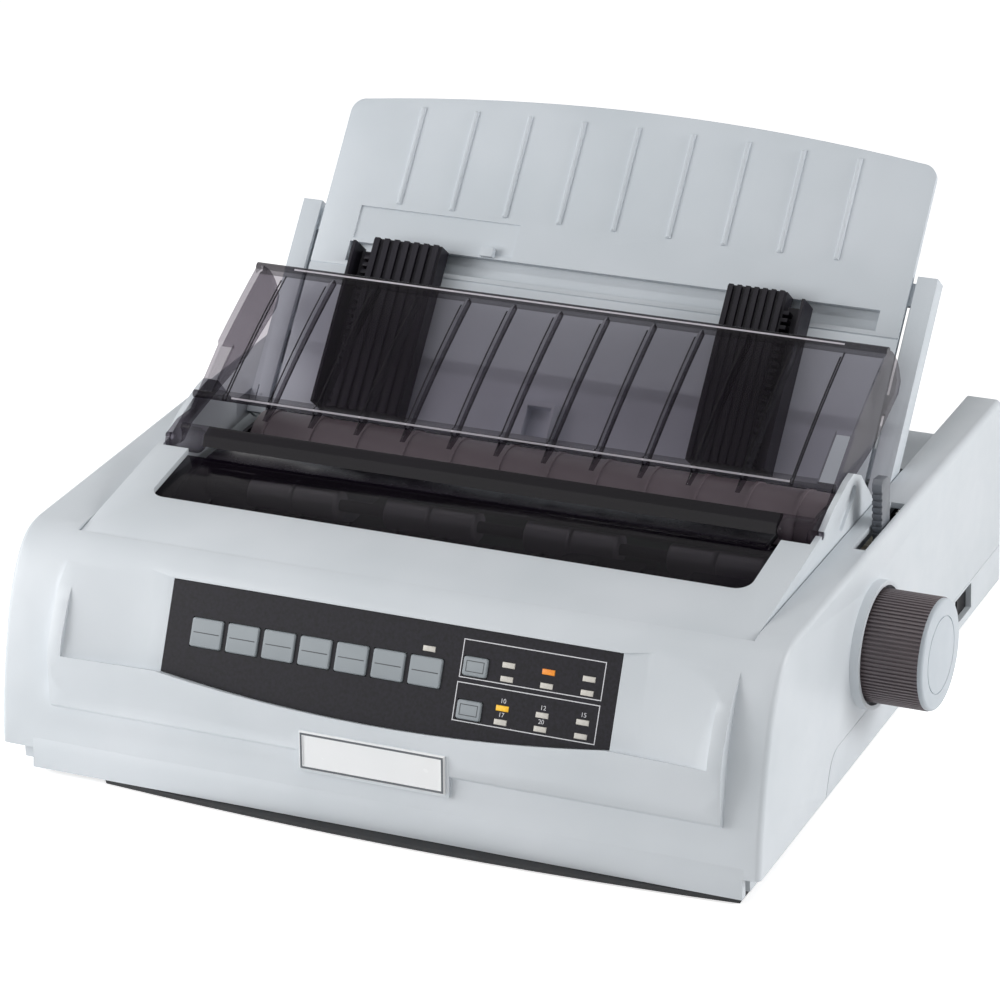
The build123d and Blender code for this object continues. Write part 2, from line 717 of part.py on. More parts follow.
def paper_guide(outer, fence, inner):
    """A paper guide: ribbed slab, comb edge, fence, and the tongue that runs in the slot."""
    side = 1 if outer > 0 else -1
    low_x, high_x = sorted((fence, inner))
    body = slab(low_x, high_x, guide_low, guide_high, gap, guide_height - 2)
    ribs = 7
    pitch = (high_x - low_x) / ribs
    for i in range(ribs):
        x = low_x + (i + 0.5) * pitch
        body += slab(x - pitch * 0.28, x + pitch * 0.28, guide_low, guide_high, guide_height - 2.1, guide_height)
    edge_low, edge_high = sorted((outer, fence))
    body += slab(edge_low, edge_high, guide_low, guide_high - 6, gap, 4)
    teeth = 22
    tooth_pitch = (guide_high - 8 - guide_low) / teeth
    for i in range(teeth):
        s = guide_low + i * tooth_pitch
        reach = fence + side * 3.2
        x0, x1 = sorted((fence - side * 0.2, reach))
        body += slab(x0, x1, s, s + tooth_pitch * 0.55, 3.5, guide_height - 2)
    x0, x1 = sorted((outer, outer - side * 1.6))
    body += slab(x0, x1, guide_low, guide_high - 4, gap, guide_height + 3)
    middle = (low_x + high_x) / 2
    body += slab(middle - 8, middle + 8, slot_low + gap, slot_high - gap, -panel_sheet_thick - gap, gap + 0.5)
    body += slab(middle - 8, middle + 8, slot_low - 4, slot_high + 2, -panel_sheet_thick - gap - 2,
                 -panel_sheet_thick - gap)
    return sheet_plane.location * body


# ================================================================ paper chute and bail
def paper_chute():
    """Curved chute with raised rings that hands the sheet from the separator to the platen."""
    half_disc = Plane.YZ.location * Pos(chute_y, chute_z) * Circle(chute_radius)
    shell = Pos(-chute_half, 0, 0) * extrude(half_disc, amount=2 * chute_half, dir=(1, 0, 0))
    for i in range(ring_count):
        x = ring_first + i * ring_pitch
        shell += bar(x - 1, x + 1, chute_y, chute_z, chute_radius + 1)
    shell -= bar(-chute_half - 1, chute_half + 1, chute_y, chute_z, chute_radius - 2.5)
    shell -= slab(-chute_half - 1, chute_half + 1, chute_y - 30, chute_y + 30, chute_z - 30, chute_z)
    tab = slab(chute_half - 2, frame_in, chute_y + 8, chute_y + 14, chute_z - 6, chute_z + 6)
    web = slab(chute_half - 3, chute_half, chute_y + 4, chute_y + 19, chute_z - 6, chute_z + 6)
    for side in mirrored(tab + web):
        shell += side
    return shell


def bail_frame():
    """The bail: its shaft, two arms with their pivot pins, and the scale strip."""
    arm = shape((bail_y - 7, bail_z - 2), (bail_y - 2, bail_z + 13), (bail_y + 6, bail_z + 13), (bail_pivot[0] + 6, bail_pivot[1] + 5),
                (bail_pivot[0] + 5, bail_pivot[1] - 6), (bail_pivot[0] - 6, bail_pivot[1] - 6), (bail_y + 2, bail_z - 7))
    arm_solid = across(arm, bail_arm_in, bail_arm_in + bail_arm_thick)
    pivot = bar(bail_arm_in + 1, frame_in + frame_thick, *bail_pivot, bail_shaft)
    strip = slab(-bail_arm_in - 1, bail_arm_in + 1, bail_y - 3, bail_y + 3, bail_z + roller_radius + 0.8,
                 bail_z + roller_radius + 2.4)
    for i in range(60):
        x = -127 + i * 254 / 59
        strip -= slab(x - 0.8, x + 0.8, bail_y - 2.2, bail_y - 0.4, bail_z, bail_z + 20)
    for x in roller_centres:
        strip += slab(x - 11, x + 11, bail_y + 1.5, bail_y + 3, bail_z + roller_radius + 1, bail_z + roller_radius + flap_height)
    body = bar(-bail_arm_in - 1, bail_arm_in + 1, bail_y, bail_z, bail_shaft) + strip
    for side in mirrored(arm_solid + pivot):
        body += side
    return body


def bail_rollers():
    """Rollers that press the sheet on the platen."""
    roller = bar(-roller_width / 2, roller_width / 2, bail_y, bail_z, roller_radius)
    roller = chamfer(roller.edges().filter_by(GeomType.CIRCLE), 1.0)
    roller -= bar(-roller_width, roller_width, bail_y, bail_z, bail_shaft + fit)
    return group([Pos(x, 0, 0) * roller for x in roller_centres])


# ================================================================ platen, knob and gears
def platen():
    tube = bar(-platen_half, platen_half, platen_y, platen_z, platen_radius)
    return tube - bar(-platen_half - 1, platen_half + 1, platen_y, platen_z, shaft_radius)


def platen_shaft():
    return bar(-frame_in - frame_thick - 4, knob_face - 6, platen_y, platen_z, shaft_radius)


def gear_radius(teeth):
    return teeth * gear_module / 2


def gear_outline(teeth, turn):
    """Tooth outline about the origin, with one tooth centred on the angle turn, in degrees."""
    pitch = 360 / teeth
    points = []
    for i in range(teeth):
        middle = turn + i * pitch
        for share, reach in ((-0.31, -1.15), (-0.12, 0.8), (0.12, 0.8), (0.31, -1.15)):
            angle = radians(middle + share * pitch)
            radius = gear_radius(teeth) + reach * gear_module
            points.append((radius * cos(angle), radius * sin(angle)))
    return shape(*points)


def gear(teeth, turn, y, z, bore):
    """A spur gear on the gear train's plane."""
    disc = across(Pos(y, z) * gear_outline(teeth, turn), gear_start, gear_start + gear_width)
    return disc - bar(gear_start - 1, gear_start + gear_width + 1, y, z, bore)


def meshed_turn(teeth, driver_teeth, driver_turn, direction):
    """Tooth angle of a gear that meshes with its driver in the given direction from the driver."""
    offset = (driver_turn - direction) / (360 / driver_teeth)
    return direction + 180 - (offset + 0.5) * 360 / teeth


idler_reach = gear_radius(platen_teeth) + gear_radius(idler_teeth)
idler_far = gear_radius(idler_teeth) + gear_radius(tractor_teeth)
tractor_z = platen_z + 2.0
tractor_span = hypot(tractor_y - platen_y, tractor_z - platen_z)
idler_along = (idler_reach ** 2 - idler_far ** 2 + tractor_span ** 2) / (2 * tractor_span)
idler_off = max(idler_reach ** 2 - idler_along ** 2, 0) ** 0.5
span_tilt = atan2(tractor_z - platen_z, tractor_y - platen_y)
idler_y = platen_y + idler_along * cos(span_tilt) - idler_off * sin(span_tilt)
idler_z = platen_z + idler_along * sin(span_tilt) + idler_off * cos(span_tilt)
pinion_reach = gear_radius(idler_teeth) + gear_radius(pinion_teeth)
pinion_y = idler_y + (pinion_reach ** 2 - (idler_z - pinion_z) ** 2) ** 0.5


def direction(y0, z0, y1, z1):
    return degrees(atan2(z1 - z0, y1 - y0))


to_idler = direction(platen_y, platen_z, idler_y, idler_z)
to_tractor = direction(idler_y, idler_z, tractor_y, tractor_z)
to_pinion = direction(idler_y, idler_z, pinion_y, pinion_z)
idler_turn = meshed_turn(idler_teeth, platen_teeth, 0.0, to_idler)
tractor_turn = meshed_turn(tractor_teeth, idler_teeth, idler_turn, to_tractor)
pinion_turn = meshed_turn(pinion_teeth, idler_teeth, idler_turn, to_pinion)


def platen_gear():
    return gear(platen_teeth, 0.0, platen_y, platen_z, shaft_radius)


def idler_gear():
    wheel = gear(idler_teeth, idler_turn, idler_y, idler_z, 4 + fit)
    for i in range(6):
        angle = radians(60 * i + 15)
        wheel -= bar(gear_start - 1, gear_start + gear_width + 1, idler_y + 20 * cos(angle), idler_z + 20 * sin(angle), 6)
    return wheel


def tractor_shaft():
    """Six-sided tractor shaft with its gear."""
    hexagon = Pos(tractor_y, tractor_z) * RegularPolygon(tractor_shaft_radius, 6)
    shaft = across(hexagon, -frame_in + 1, frame_in - 1)
    shaft += bar(-frame_in - frame_thick - 3, gear_start + gear_width + 1, tractor_y, tractor_z, 4)
    return shaft + gear(tractor_teeth, tractor_turn, tractor_y, tractor_z, 3)


def feed_pinion():
    wheel = gear(pinion_teeth, pinion_turn, pinion_y, pinion_z, 1)
    return wheel + bar(frame_in - 8, gear_start + gear_width + 1, pinion_y, pinion_z, 2)


def feed_motor():
    """Stepping motor on the inside of the right frame, bored for the pinion's shaft."""
    can = bar(frame_in - 36, frame_in, pinion_y, pinion_z, 17)
    can -= bar(frame_in - 9, frame_in + 1, pinion_y, pinion_z, 2 + fit)
    ears = slab(frame_in - 2, frame_in, pinion_y - 26, pinion_y + 26, pinion_z - 6, pinion_z + 6)
    ears -= bar(frame_in - 3, frame_in + 1, pinion_y, pinion_z, 10)
    return can + ears


def knob_body():
    """Ribbed platen knob, slightly tapered."""
    points = []
    for i in range(knob_ribs):
        for share, radius in ((0.0, knob_radius), (0.42, knob_radius), (0.5, knob_radius - 0.8), (0.92, knob_radius - 0.8)):
            angle = 2 * pi * (i + share) / knob_ribs
            points.append((platen_y + radius * cos(angle), platen_z + radius * sin(angle)))
    body = across(shape(*points), knob_start, knob_face - knob_cap_thick)
    body -= bar(knob_start - 1, knob_start + 14, platen_y, platen_z, knob_radius - 5) \
        - bar(knob_start - 2, knob_start + 15, platen_y, platen_z, shaft_radius + 3)
    return body - bar(knob_start - 2, knob_face - 6, platen_y, platen_z, shaft_radius)


def knob_cap():
    """Face disc of the knob with its rounded rim and the fine ring on its face."""
    disc = bar(knob_face - knob_cap_thick, knob_face, platen_y, platen_z, knob_radius - 0.4)
    disc = fillet(disc.edges().filter_by(GeomType.CIRCLE).sort_by(Axis.X)[-1], 1.6)
    ring = bar(knob_face - 0.4, knob_face + 1, platen_y, platen_z, 19.2) \
        - bar(knob_face - 1, knob_face + 2, platen_y, platen_z, 18.6)
    return disc - ring


# ================================================================ frame and carriage
def side_outline():
    return shape((frame_front, floor_top), (frame_front, 60), (96, 96), (bail_y - 40, frame_height - 6),
                 (bail_y - 20, frame_height), (chute_y + 10, frame_height), (chute_y + 20, frame_rear_height),
                 (frame_rear, frame_rear_height), (frame_rear, floor_top))


def side_frame():
    """Pressed side frame with bores for every shaft, and its bent foot."""
    x0, x1 = frame_in, frame_in + frame_thick
    plate = across(side_outline(), x0, x1)
    plate += slab(x0 - 14, x0 + 1, frame_front + 50, frame_rear - 60, floor_top, floor_top + frame_thick)
    plate += bar(x0 - 3, x1 + 1.5, platen_y, platen_z, shaft_radius + 4)
    plate -= bar(x0 - 20, x1 + 20, platen_y, platen_z, shaft_radius + fit)
    plate -= bar(x0 - 20, x1 + 20, tractor_y, tractor_z, 4 + fit)
    plate -= bar(x0 - 20, x1 + 20, slide_y, slide_z, slide_radius)
    plate -= bar(x0 - 20, x1 + 20, *bail_pivot, bail_shaft + fit)
    plate -= bar(x0 - 20, x1 + 20, rod_y, tractor_z, rod_radius)
    plate -= bar(x0 - 20, x1 + 20, pinion_y, pinion_z, 4)
    return plate


def side_frame_right():
    idler_stub = bar(frame_in + frame_thick - 1, gear_start + gear_width + 2, idler_y, idler_z, 4)
    collar = bar(frame_in + frame_thick - 1, gear_start - gap, idler_y, idler_z, 7)
    return side_frame() + idler_stub + collar


def side_frame_left():
    return mirror(side_frame(), about=Plane.YZ)


def frame_beam():
    """Folded steel beam: it ties the side frames, carries the belt drive and guides the carriage."""
    beam = shape((beam_front, beam_z - 12), (beam_front, beam_z + rail_lip), (beam_front + 2, beam_z + rail_lip),
                 (beam_front + 2, beam_z + 2), (beam_rear, beam_z + 2), (beam_rear, beam_z),
                 (beam_front + 2, beam_z), (beam_front + 2, beam_z - 12))
    body = across(beam, -frame_in, frame_in)
    for x in (-pulley_x, pulley_x):
        body -= post(x, pulley_y, beam_z - 1, beam_z + 3, 2 + fit)
    for i in range(8):
        body -= Pos(-112 + i * 32, 84, beam_z - 1) * raised(SlotOverall(20, 8), 4)
    return body


def carriage_shaft():
    return bar(-frame_in - frame_thick - 3, frame_in + frame_thick + 2, slide_y, slide_z, slide_radius)


def carriage():
    """Carriage with its bearing on the shaft, its foot on the beam's lip and the belt clamp."""
    half = carriage_half
    side = shape((beam_front - 5, beam_z + rail_lip - 6), (beam_front - 5, 58), (slide_y + 14, 58),
                 (slide_y + 14, slide_z + 4), (slide_y + 9, slide_z - 8), (slide_y - 9, slide_z - 8),
                 (slide_y - 12, slide_z - 2), (beam_front + 6, slide_z + 1), (beam_front + 6, beam_z + rail_lip - 6),
                 (beam_front + 2 + gap, beam_z + rail_lip - 6), (beam_front + 2 + gap, beam_z + rail_lip + gap),
                 (beam_front - gap, beam_z + rail_lip + gap), (beam_front - gap, beam_z + rail_lip - 6))
    body = across(side, -half, half)
    body -= bar(-half - 1, half + 1, slide_y, slide_z, slide_radius + fit)
    rear_run = pulley_y + pulley_radius + gap
    clamp = slab(-9, 9, rear_run - 2, rear_run + belt_thick + 3, belt_low - 1.2, slide_z + 1)
    clamp -= slab(-10, 10, rear_run - gap, rear_run + belt_thick + gap, belt_low - gap, belt_low + belt_width + gap)
    return Pos(carriage_x, 0, 0) * (body + clamp)


def print_head():
    """Finned print head with its nose to the platen."""
    body = slab(-20, 20, 96, 127, 58, 63)
    for i in range(7):
        y = 97 + i * 4.3
        body += slab(-20, 20, y, y + 2.2, 62.5, 85)
    body += post(0, 111, 62, 84.5, 12)
    nose = Pos(0, 120, 66) * Rot(-90, 0, 0) * extrude(Rectangle(16, 12), amount=17.8, taper=9)
    return Pos(carriage_x, 0, 0) * (body + nose)


def ribbon_cartridge():
    """Ribbon cartridge: a flat case over the head, and two arms that hold the ribbon at its nose."""
    case = slab(-54, 54, 84, 132, 86.5, 103)
    case = fillet(case.edges().filter_by(Axis.Z), 6)
    case -= slab(-12, 12, 116, 133, 80, 110)
    for x in (-36, -24, 24, 36):
        case += slab(x - 1, x + 1, 90, 126, 102.5, 103.8)
    arm = shape((123, 88), (132, 88), (138.6, 72), (138.6, 62), (134, 62), (128, 74))
    for x0 in (-34, 22):
        case += across(arm, x0, x0 + 12)
    case += slab(-23, 23, 138.1, 138.6, 62.5, 72)
    case -= post(-40, 98, 95, 110, 2.5 + fit)
    return Pos(carriage_x, 0, 0) * case


def ribbon_knob():
    """Knob that takes up the ribbon's slack."""
    knob = post(-40, 98, 104.1, 107.6, 7)
    for i in range(12):
        angle = radians(30 * i)
        knob -= post(-40 + 7.6 * cos(angle), 98 + 7.6 * sin(angle), 104, 108, 1.3)
    return Pos(carriage_x, 0, 0) * (knob + post(-40, 98, 96, 105, 2.5))


def carriage_motor():
    can = post(-pulley_x, pulley_y, beam_z - 24, beam_z, motor_radius)
    return can - post(-pulley_x, pulley_y, beam_z - 9, beam_z + 1, 2 + fit)


def belt_pulley(x, depth):
    """Flanged belt pulley on its own spindle."""
    wheel = post(x, pulley_y, belt_low - 0.6, belt_low + belt_width + 0.6, pulley_radius)
    wheel += post(x, pulley_y, belt_low - 1.6, belt_low - 0.6, pulley_radius + 2)
    wheel += post(x, pulley_y, belt_low + belt_width + 0.6, belt_low + belt_width + 1.6, pulley_radius + 2)
    return wheel + post(x, pulley_y, beam_z - depth, belt_low, 2)


def timing_belt():
    """Endless belt round both pulleys."""
    outer = SlotCenterToCenter(2 * pulley_x, 2 * (pulley_radius + gap + belt_thick))
    inner = SlotCenterToCenter(2 * pulley_x, 2 * (pulley_radius + gap))
    return Pos(0, pulley_y, belt_low) * raised(outer - inner, belt_width)


# ================================================================ tractors
def tractor(centre, side):
    """Tractor block with its pins; side is the way its door's hinge points."""
    half = tractor_half
    profile = Polygon((tractor_front, tractor_low + 6), (tractor_front + 6, tractor_low), (tractor_rear - 6, tractor_low),
                      (tractor_rear, tractor_low + 6), (tractor_rear, tractor_top - 8), (tractor_rear - 8, tractor_top),
                      (tractor_front + 8, tractor_top), (tractor_front, tractor_top - 8), align=None)
    body = across(profile, -half, half)
    body -= bar(-half - 1, half + 1, tractor_y, tractor_z, tractor_shaft_radius + fit)
    body -= bar(-half - 1, half + 1, rod_y, tractor_z, rod_radius + fit)
    for i in range(3):
        body += post(-side * 3, tractor_front + 15.5 + i * 12.7, tractor_top - 0.5, tractor_top + 2.0, 1.9)
    hinge_x = side * (half - 1.5)
    for y in (tractor_front + 8, tractor_rear - 11):
        x0, x1 = sorted((hinge_x - 2.6, hinge_x + 2.6))
        body += slab(x0, x1, y, y + 3, tractor_top - 1, tractor_top + 6)
    body += Pos(hinge_x, tractor_front + 9, tractor_top + 3.4) * Rot(-90, 0, 0) * Cylinder(
        1.5, tractor_rear - tractor_front - 18, align=(Align.CENTER, Align.CENTER, Align.MIN))
    return Pos(centre, 0, 0) * body


def tractor_door(centre, side):
    """Door that holds the paper's edge on the pins, bored for its hinge pin."""
    half = tractor_half
    y0, y1 = tractor_front + 11 + gap, tractor_rear - 11 - gap
    hinge_x = side * (half - 1.5)
    free_x = -side * (half - 0.5)
    x0, x1 = sorted((hinge_x, free_x))
    plate = slab(x0, x1, y0, y1, tractor_top + 2.4, tractor_top + 4.6)
    slot_x = -side * 3
    plate -= slab(slot_x - 2.8, slot_x + 2.8, tractor_front + 12, tractor_rear - 13, tractor_top, tractor_top + 4) \
        - slab(slot_x - 4, slot_x + 4, tractor_front, tractor_rear, tractor_top + 3.6, tractor_top + 9)
    plate += Pos(hinge_x, y0, tractor_top + 3.4) * Rot(-90, 0, 0) * Cylinder(
        3.0, y1 - y0, align=(Align.CENTER, Align.CENTER, Align.MIN))
    plate -= Pos(hinge_x, y0 - 1, tractor_top + 3.4) * Rot(-90, 0, 0) * Cylinder(
        1.5 + fit, y1 - y0 + 2, align=(Align.CENTER, Align.CENTER, Align.MIN))
    return Pos(centre, 0, 0) * plate


def tractor_rod():
    return bar(-frame_in - frame_thick - 1, frame_in + frame_thick + 1, rod_y, tractor_z, rod_radius)


# ================================================================ lever, switch and electrics
def paper_lever():
    """Paper lever with its hub, ridged finger face and tapered stem."""
    y, z = lever_pivot
    x0, x1 = lever_x - lever_thick / 2, lever_x + lever_thick / 2
    stem = shape((y - 5, z), (y - 4, z + 34), (y - 6.5, lever_top - 28), (y - 6, lever_top - 2), (y - 4, lever_top),
                 (y + 3, lever_top - 1), (y + 6, lever_top - 4.5), (y + 5, lever_top - 28), (y + 4, z + 34), (y + 5, z))
    body = across(stem, x0, x1)
    for i in range(8):
        low = lever_top - 6 - i * 3.4
        body -= slab(x0 - 1, x1 + 1, y - 9, y - 5.3, low - 1.4, low)
    body += bar(x0, x1, y, z, 7)
    return body - bar(x0 - 1, x1 + 1, y, z, lever_pin + fit)


def power_switch():
    """Switch body behind its opening in the lower housing."""
    x1 = right_wall - wall
    body = slab(x1 - 14, x1, switch_front - 2, switch_rear + 2, switch_low - 1.2, side_seam_z - 1)
    body -= slab(x1 - 9, x1 + 1, switch_front, switch_rear, switch_low, switch_high)
    hub_y = (switch_front + switch_rear) / 2
    return body + post(x1 - 4.5, hub_y, switch_low - 0.5, switch_high + 0.5, 1.2)


def power_rocker():
    """Rocker cap of the power switch, on its upright pin."""
    x1 = right_wall - wall
    hub_y = (switch_front + switch_rear) / 2
    reach = (switch_rear - switch_front) / 2 - 1.2
    cap = Polygon((x1 - 6.5, hub_y - 3), (x1 - 2.6, hub_y - reach), (x1 + 1.8, hub_y - reach), (x1 + 0.2, hub_y),
                  (x1 + 1.8, hub_y + reach), (x1 - 2.6, hub_y + reach), (x1 - 6.5, hub_y + 3), align=None)
    body = Pos(0, 0, switch_low + gap) * raised(cap, switch_high - switch_low - 2 * gap)
    body -= post(x1 - 4.5, hub_y, switch_low - 1, switch_high + 1, 1.2 + fit)
    return Pos(x1 - 4.5, hub_y) * Rot(0, 0, rocker_tilt) * Pos(4.5 - x1, -hub_y) * body


def power_inlet():
    """Three-pin appliance inlet in the rear wall."""
    rear = rear_face
    body = slab(inlet_x - 15, inlet_x + 15, rear - 22, rear, 15.2, 39.8)
    body -= slab(inlet_x - 12, inlet_x + 12, rear - 17, rear + 1, 19.5, 35.5)
    for x, z in ((-7, 24.4), (7, 24.4), (0, 28.4)):
        body += slab(inlet_x + x - 1, inlet_x + x + 1, rear - 18, rear - 3, z - 1.6, z + 1.6)
    return body


def interface_ports():
    """Parallel and serial-bus sockets on the main board's rear edge."""
    top = board_low + 1.6
    parallel = slab(port_x - 31.5, port_x + 31.5, 336, rear_face, top, 29.5)
    parallel -= slab(port_x - 27, port_x + 27, 341, rear_face + 1, top + 2, 27.5)
    parallel += slab(port_x - 24, port_x + 24, 340, rear_face - 2, top + 4.4, top + 6.4)
    bus = slab(port_x + 44.5, port_x + 55.5, 334, rear_face, top, 28.5)
    bus -= slab(port_x + 46, port_x + 54, 340, rear_face + 1, top + 1.6, 27)
    return group([parallel, bus])


def main_board():
    """Main board with its larger chips and capacitors."""
    board = slab(board_left, board_right, board_front, board_rear, board_low, board_low + 1.6)
    top = board_low + 1.5
    for x, y, width, depth, height in ((-100, 180, 28, 28, 3), (-50, 180, 36, 14, 4), (-50, 210, 36, 14, 4),
                                       (-100, 230, 20, 40, 3), (0, 160, 18, 34, 4), (10, 300, 40, 22, 8)):
        board += slab(x - width / 2, x + width / 2, y - depth / 2, y + depth / 2, top, top + height)
    for x in (-20, 0, 20):
        board += post(x, 250, top, top + 20, 7)
    return board


def power_supply():
    """Boxed power supply on the floor at the rear right."""
    box = slab(72, 160, 258, 326, floor_top, 46)
    for i in range(8):
        box -= slab(80 + i * 9, 84 + i * 9, 266, 318, 44, 47)
    return box


def screws():
    """Cross-head screws that hold the side frames' feet and the power supply."""
    places = [(side * (frame_in - 8), y) for side in (-1, 1) for y in (120, 236)]
    heads = []
    for x, y in places:
        head = post(x, y, floor_top + frame_thick, floor_top + frame_thick + 2.4, 3.5)
        head -= slab(x - 2, x + 2, y - 0.5, y + 0.5, floor_top + frame_thick + 1.4, floor_top + frame_thick + 3)
        head -= slab(x - 0.5, x + 0.5, y - 2, y + 2, floor_top + frame_thick + 1.4, floor_top + frame_thick + 3)
        heads.append(head)
    return group(heads)


# ================================================================ assembly
def make_pieces():
    pieces = {
        "upper_housing": upper_housing(), "lower_housing": lower_housing(), "base_pan": base_pan(),
        "rubber_feet": rubber_feet(), "operator_panel": operator_panel(), "status_lights": status_lights(),
        "name_plate": name_plate(), "access_cover": access_cover(), "access_window": access_window(),
        "smoked_cover": smoked_cover(), "separator_panel": separator_panel(), "separator_frame": separator_frame(),
        "paper_guide_left": paper_guide(*left_guide), "paper_guide_right": paper_guide(*right_guide),
        "paper_chute": paper_chute(), "bail_frame": bail_frame(), "bail_rollers": bail_rollers(),
        "platen": platen(), "platen_shaft": platen_shaft(), "platen_gear": platen_gear(),
        "idler_gear": idler_gear(), "tractor_shaft": tractor_shaft(), "feed_pinion": feed_pinion(),
        "feed_motor": feed_motor(), "knob_body": knob_body(), "knob_cap": knob_cap(),
        "side_frame_left": side_frame_left(), "side_frame_right": side_frame_right(), "frame_beam": frame_beam(),
        "carriage_shaft": carriage_shaft(), "carriage": carriage(), "print_head": print_head(),
        "ribbon_cartridge": ribbon_cartridge(), "ribbon_knob": ribbon_knob(), "carriage_motor": carriage_motor(),
        "drive_pulley": belt_pulley(-pulley_x, 8), "idler_pulley": belt_pulley(pulley_x, 4),
        "timing_belt": timing_belt(), "tractor_left": tractor(-tractor_x, -1), "tractor_right": tractor(tractor_x, 1),
        "tractor_door_left": tractor_door(-tractor_x, -1), "tractor_door_right": tractor_door(tractor_x, 1),
        "tractor_rod": tractor_rod(), "paper_lever": paper_lever(), "power_switch": power_switch(),
        "power_rocker": power_rocker(), "power_inlet": power_inlet(), "interface_ports": interface_ports(),
        "main_board": main_board(), "power_supply": power_supply(), "screws": screws(),
    }
    names = [f"key_{i + 1}" for i in range(key_count)] + ["key_quality", "key_pitch"]
    for name, place in zip(names, key_places()):
        pieces[name] = key(*place)
    return pieces


def write_pieces():
    pieces = make_pieces()
    box = Compound(children=[Compound(children=list(piece.solids())) for piece in pieces.values()]).bounding_box()
    shift = Pos(-(box.min.X + box.max.X) / 2, -(box.min.Y + box.max.Y) / 2, -box.min.Z)
    os.makedirs("parts", exist_ok=True)
    for name, piece in pieces.items():
        solids = piece.solids()
        whole = solids[0] if len(solids) == 1 else Compound(children=list(solids))
        export_step(shift * whole, f"parts/{name}.step")
    print("moved by", shift.position, "size", box.size)


write_pieces()
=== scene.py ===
"""Looks for the dot matrix printer: its finishes, printed and pressed details, light and camera."""
import math

import bpy
from mathutils import Matrix, Vector


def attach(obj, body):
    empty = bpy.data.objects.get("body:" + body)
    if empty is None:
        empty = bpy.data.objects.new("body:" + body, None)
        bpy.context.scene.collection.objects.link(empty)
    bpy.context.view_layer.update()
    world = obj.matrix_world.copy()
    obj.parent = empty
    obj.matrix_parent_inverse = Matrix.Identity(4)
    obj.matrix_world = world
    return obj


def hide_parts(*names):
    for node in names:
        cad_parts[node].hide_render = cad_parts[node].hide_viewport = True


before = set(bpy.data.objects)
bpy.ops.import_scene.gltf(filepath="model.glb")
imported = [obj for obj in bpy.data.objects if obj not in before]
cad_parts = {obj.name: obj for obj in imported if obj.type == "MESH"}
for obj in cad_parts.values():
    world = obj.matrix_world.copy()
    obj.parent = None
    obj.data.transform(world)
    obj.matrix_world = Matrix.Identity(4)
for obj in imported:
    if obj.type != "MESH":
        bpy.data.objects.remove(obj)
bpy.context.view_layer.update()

# ------------------------------------------------------------------ places, in millimetres
# From the drawings of the printer to the row frame.
DRAWING_SHIFT = Vector((-12.65, -177.817, 0.0))
MM = 0.001

PANEL_TOP = (39.3, 103.1)        # (y, z) of the operator panel's upper edge
PANEL_SLOPE = math.radians(63.66)
KEY_ROW_DOWN = 23.4
KEY_FIRST_X = -95.3
KEY_PITCH = 19.25
KEY_WIDTH = 16.6
KEY_PROUD = 1.2
SMALL_KEYS = {"key_quality": 17.4, "key_pitch": 37.8}
SMALL_KEY_X = 45.0
SMALL_KEY_WIDTH = 12.4
LIGHT_SIZE = (6.5, 2.7)
LIGHT_COLUMNS = (61.3, 81.5, 101.9)
LIGHT_ROWS = (14.1, 20.6, 34.3, 40.8)
READY_LIGHT = (20.3, 12.6)

RIB_PITCH = 25.4                 # the smoked cover's ribs
RIB_MIDDLE = -2.2
RIB_PERIODS = 100.5              # whole pitches, and a half, that keep the pattern's count above 0
RIB_HALF_WIDTH = 0.45
RIB_HEIGHTS = (136.0, 178.0)
RIB_ALPHA = 0.94
# Half width, depths, heights and opacity of the smoked cover's thick parts.
TOP_BEAD = (173.0, (240.8, 247.0), (177.6, 184.0), 0.70)
FRONT_ROD = (172.0, (165.6, 170.6), (137.4, 142.6), 0.60)
FRONT_BEAM = (153.0, (138.5, 151.5), (115.0, 134.0), 0.94)
# The same for the pale lines along the beads: painted highlights in the cover's colour, standing for the light
# on their polished edges.
TOP_PAINTED_HIGHLIGHT = (150.0, (241.2, 242.2), (181.8, 184.0), 0.85)
FRONT_PAINTED_HIGHLIGHT = (150.0, (165.9, 166.7), (140.6, 142.6), 0.70)
PAINTED_HIGHLIGHT_COLOUR = "#D9D4DC"
CLEAR_TINT = "#FDFAFE"

WINDOW_BAR_SIZE = (300.0, 18.0, 2.8, 0.8)      # width, depth, height and rounding
WINDOW_BAR_MIDDLE = (0.0, 141.0, 118.6)
SHEET_TOP = (306.9, 197.1)       # (y, z) on the separator's face, level with its rails' tops
SHEET_SLOPE = math.radians(49.1)
RAIL_BACK_X = 167.4
RAIL_BACK_SIZE = (11.4, 112.0, 1.2, 0.3)
RAIL_BACK_DOWN = 61.0
RAIL_BACK_DEEP = 9.8
PLATE_MIDDLE = (-0.8, 10.2, 39.8)
PLATE_SIZE = (76.0, 19.5)
PLATE_LEAN = math.radians(4.0)
PLATE_THICK = 1.4

# name, place and target in metres, size in metres, watts
LAMPS = (
    ("key_left", (-1.1, -0.75, 0.55), (0, 0, 0.08), (0.7, 0.7), 11),
    ("fill_front", (-0.9, -1.6, 0.9), (0, 0, 0.08), (1.0, 1.0), 4),
    ("side_right", (2.0, 0.4, 0.8), (0.1, 0, 0.08), (1.0, 1.0), 24),
    ("strip_top", (0.0, -0.3, 1.9), (0, 0.05, 0.15), (2.0, 0.05), 5),
)
WORLD_LIGHT = 0.25               # the backdrop's light on the object, and its brightness when seen
WORLD_SEEN = 1.0
FLOOR_LIFT = 0.62
CAMERA_ANGLES = (25.3393, 24.4757, -2.2928)    # azimuth, elevation and roll, in degrees
CAMERA_EYE = (62.04, 163.32, 2082.5)           # to the right, up and back, in millimetres
CAMERA_FOCAL = 4.4164                          # focal length in widths of the picture
SENSOR_WIDTH = 36.0


def place(x, y, z):
    """A point of the drawings, in the row frame and in metres."""
    return (Vector((x, y, z)) + DRAWING_SHIFT) * MM


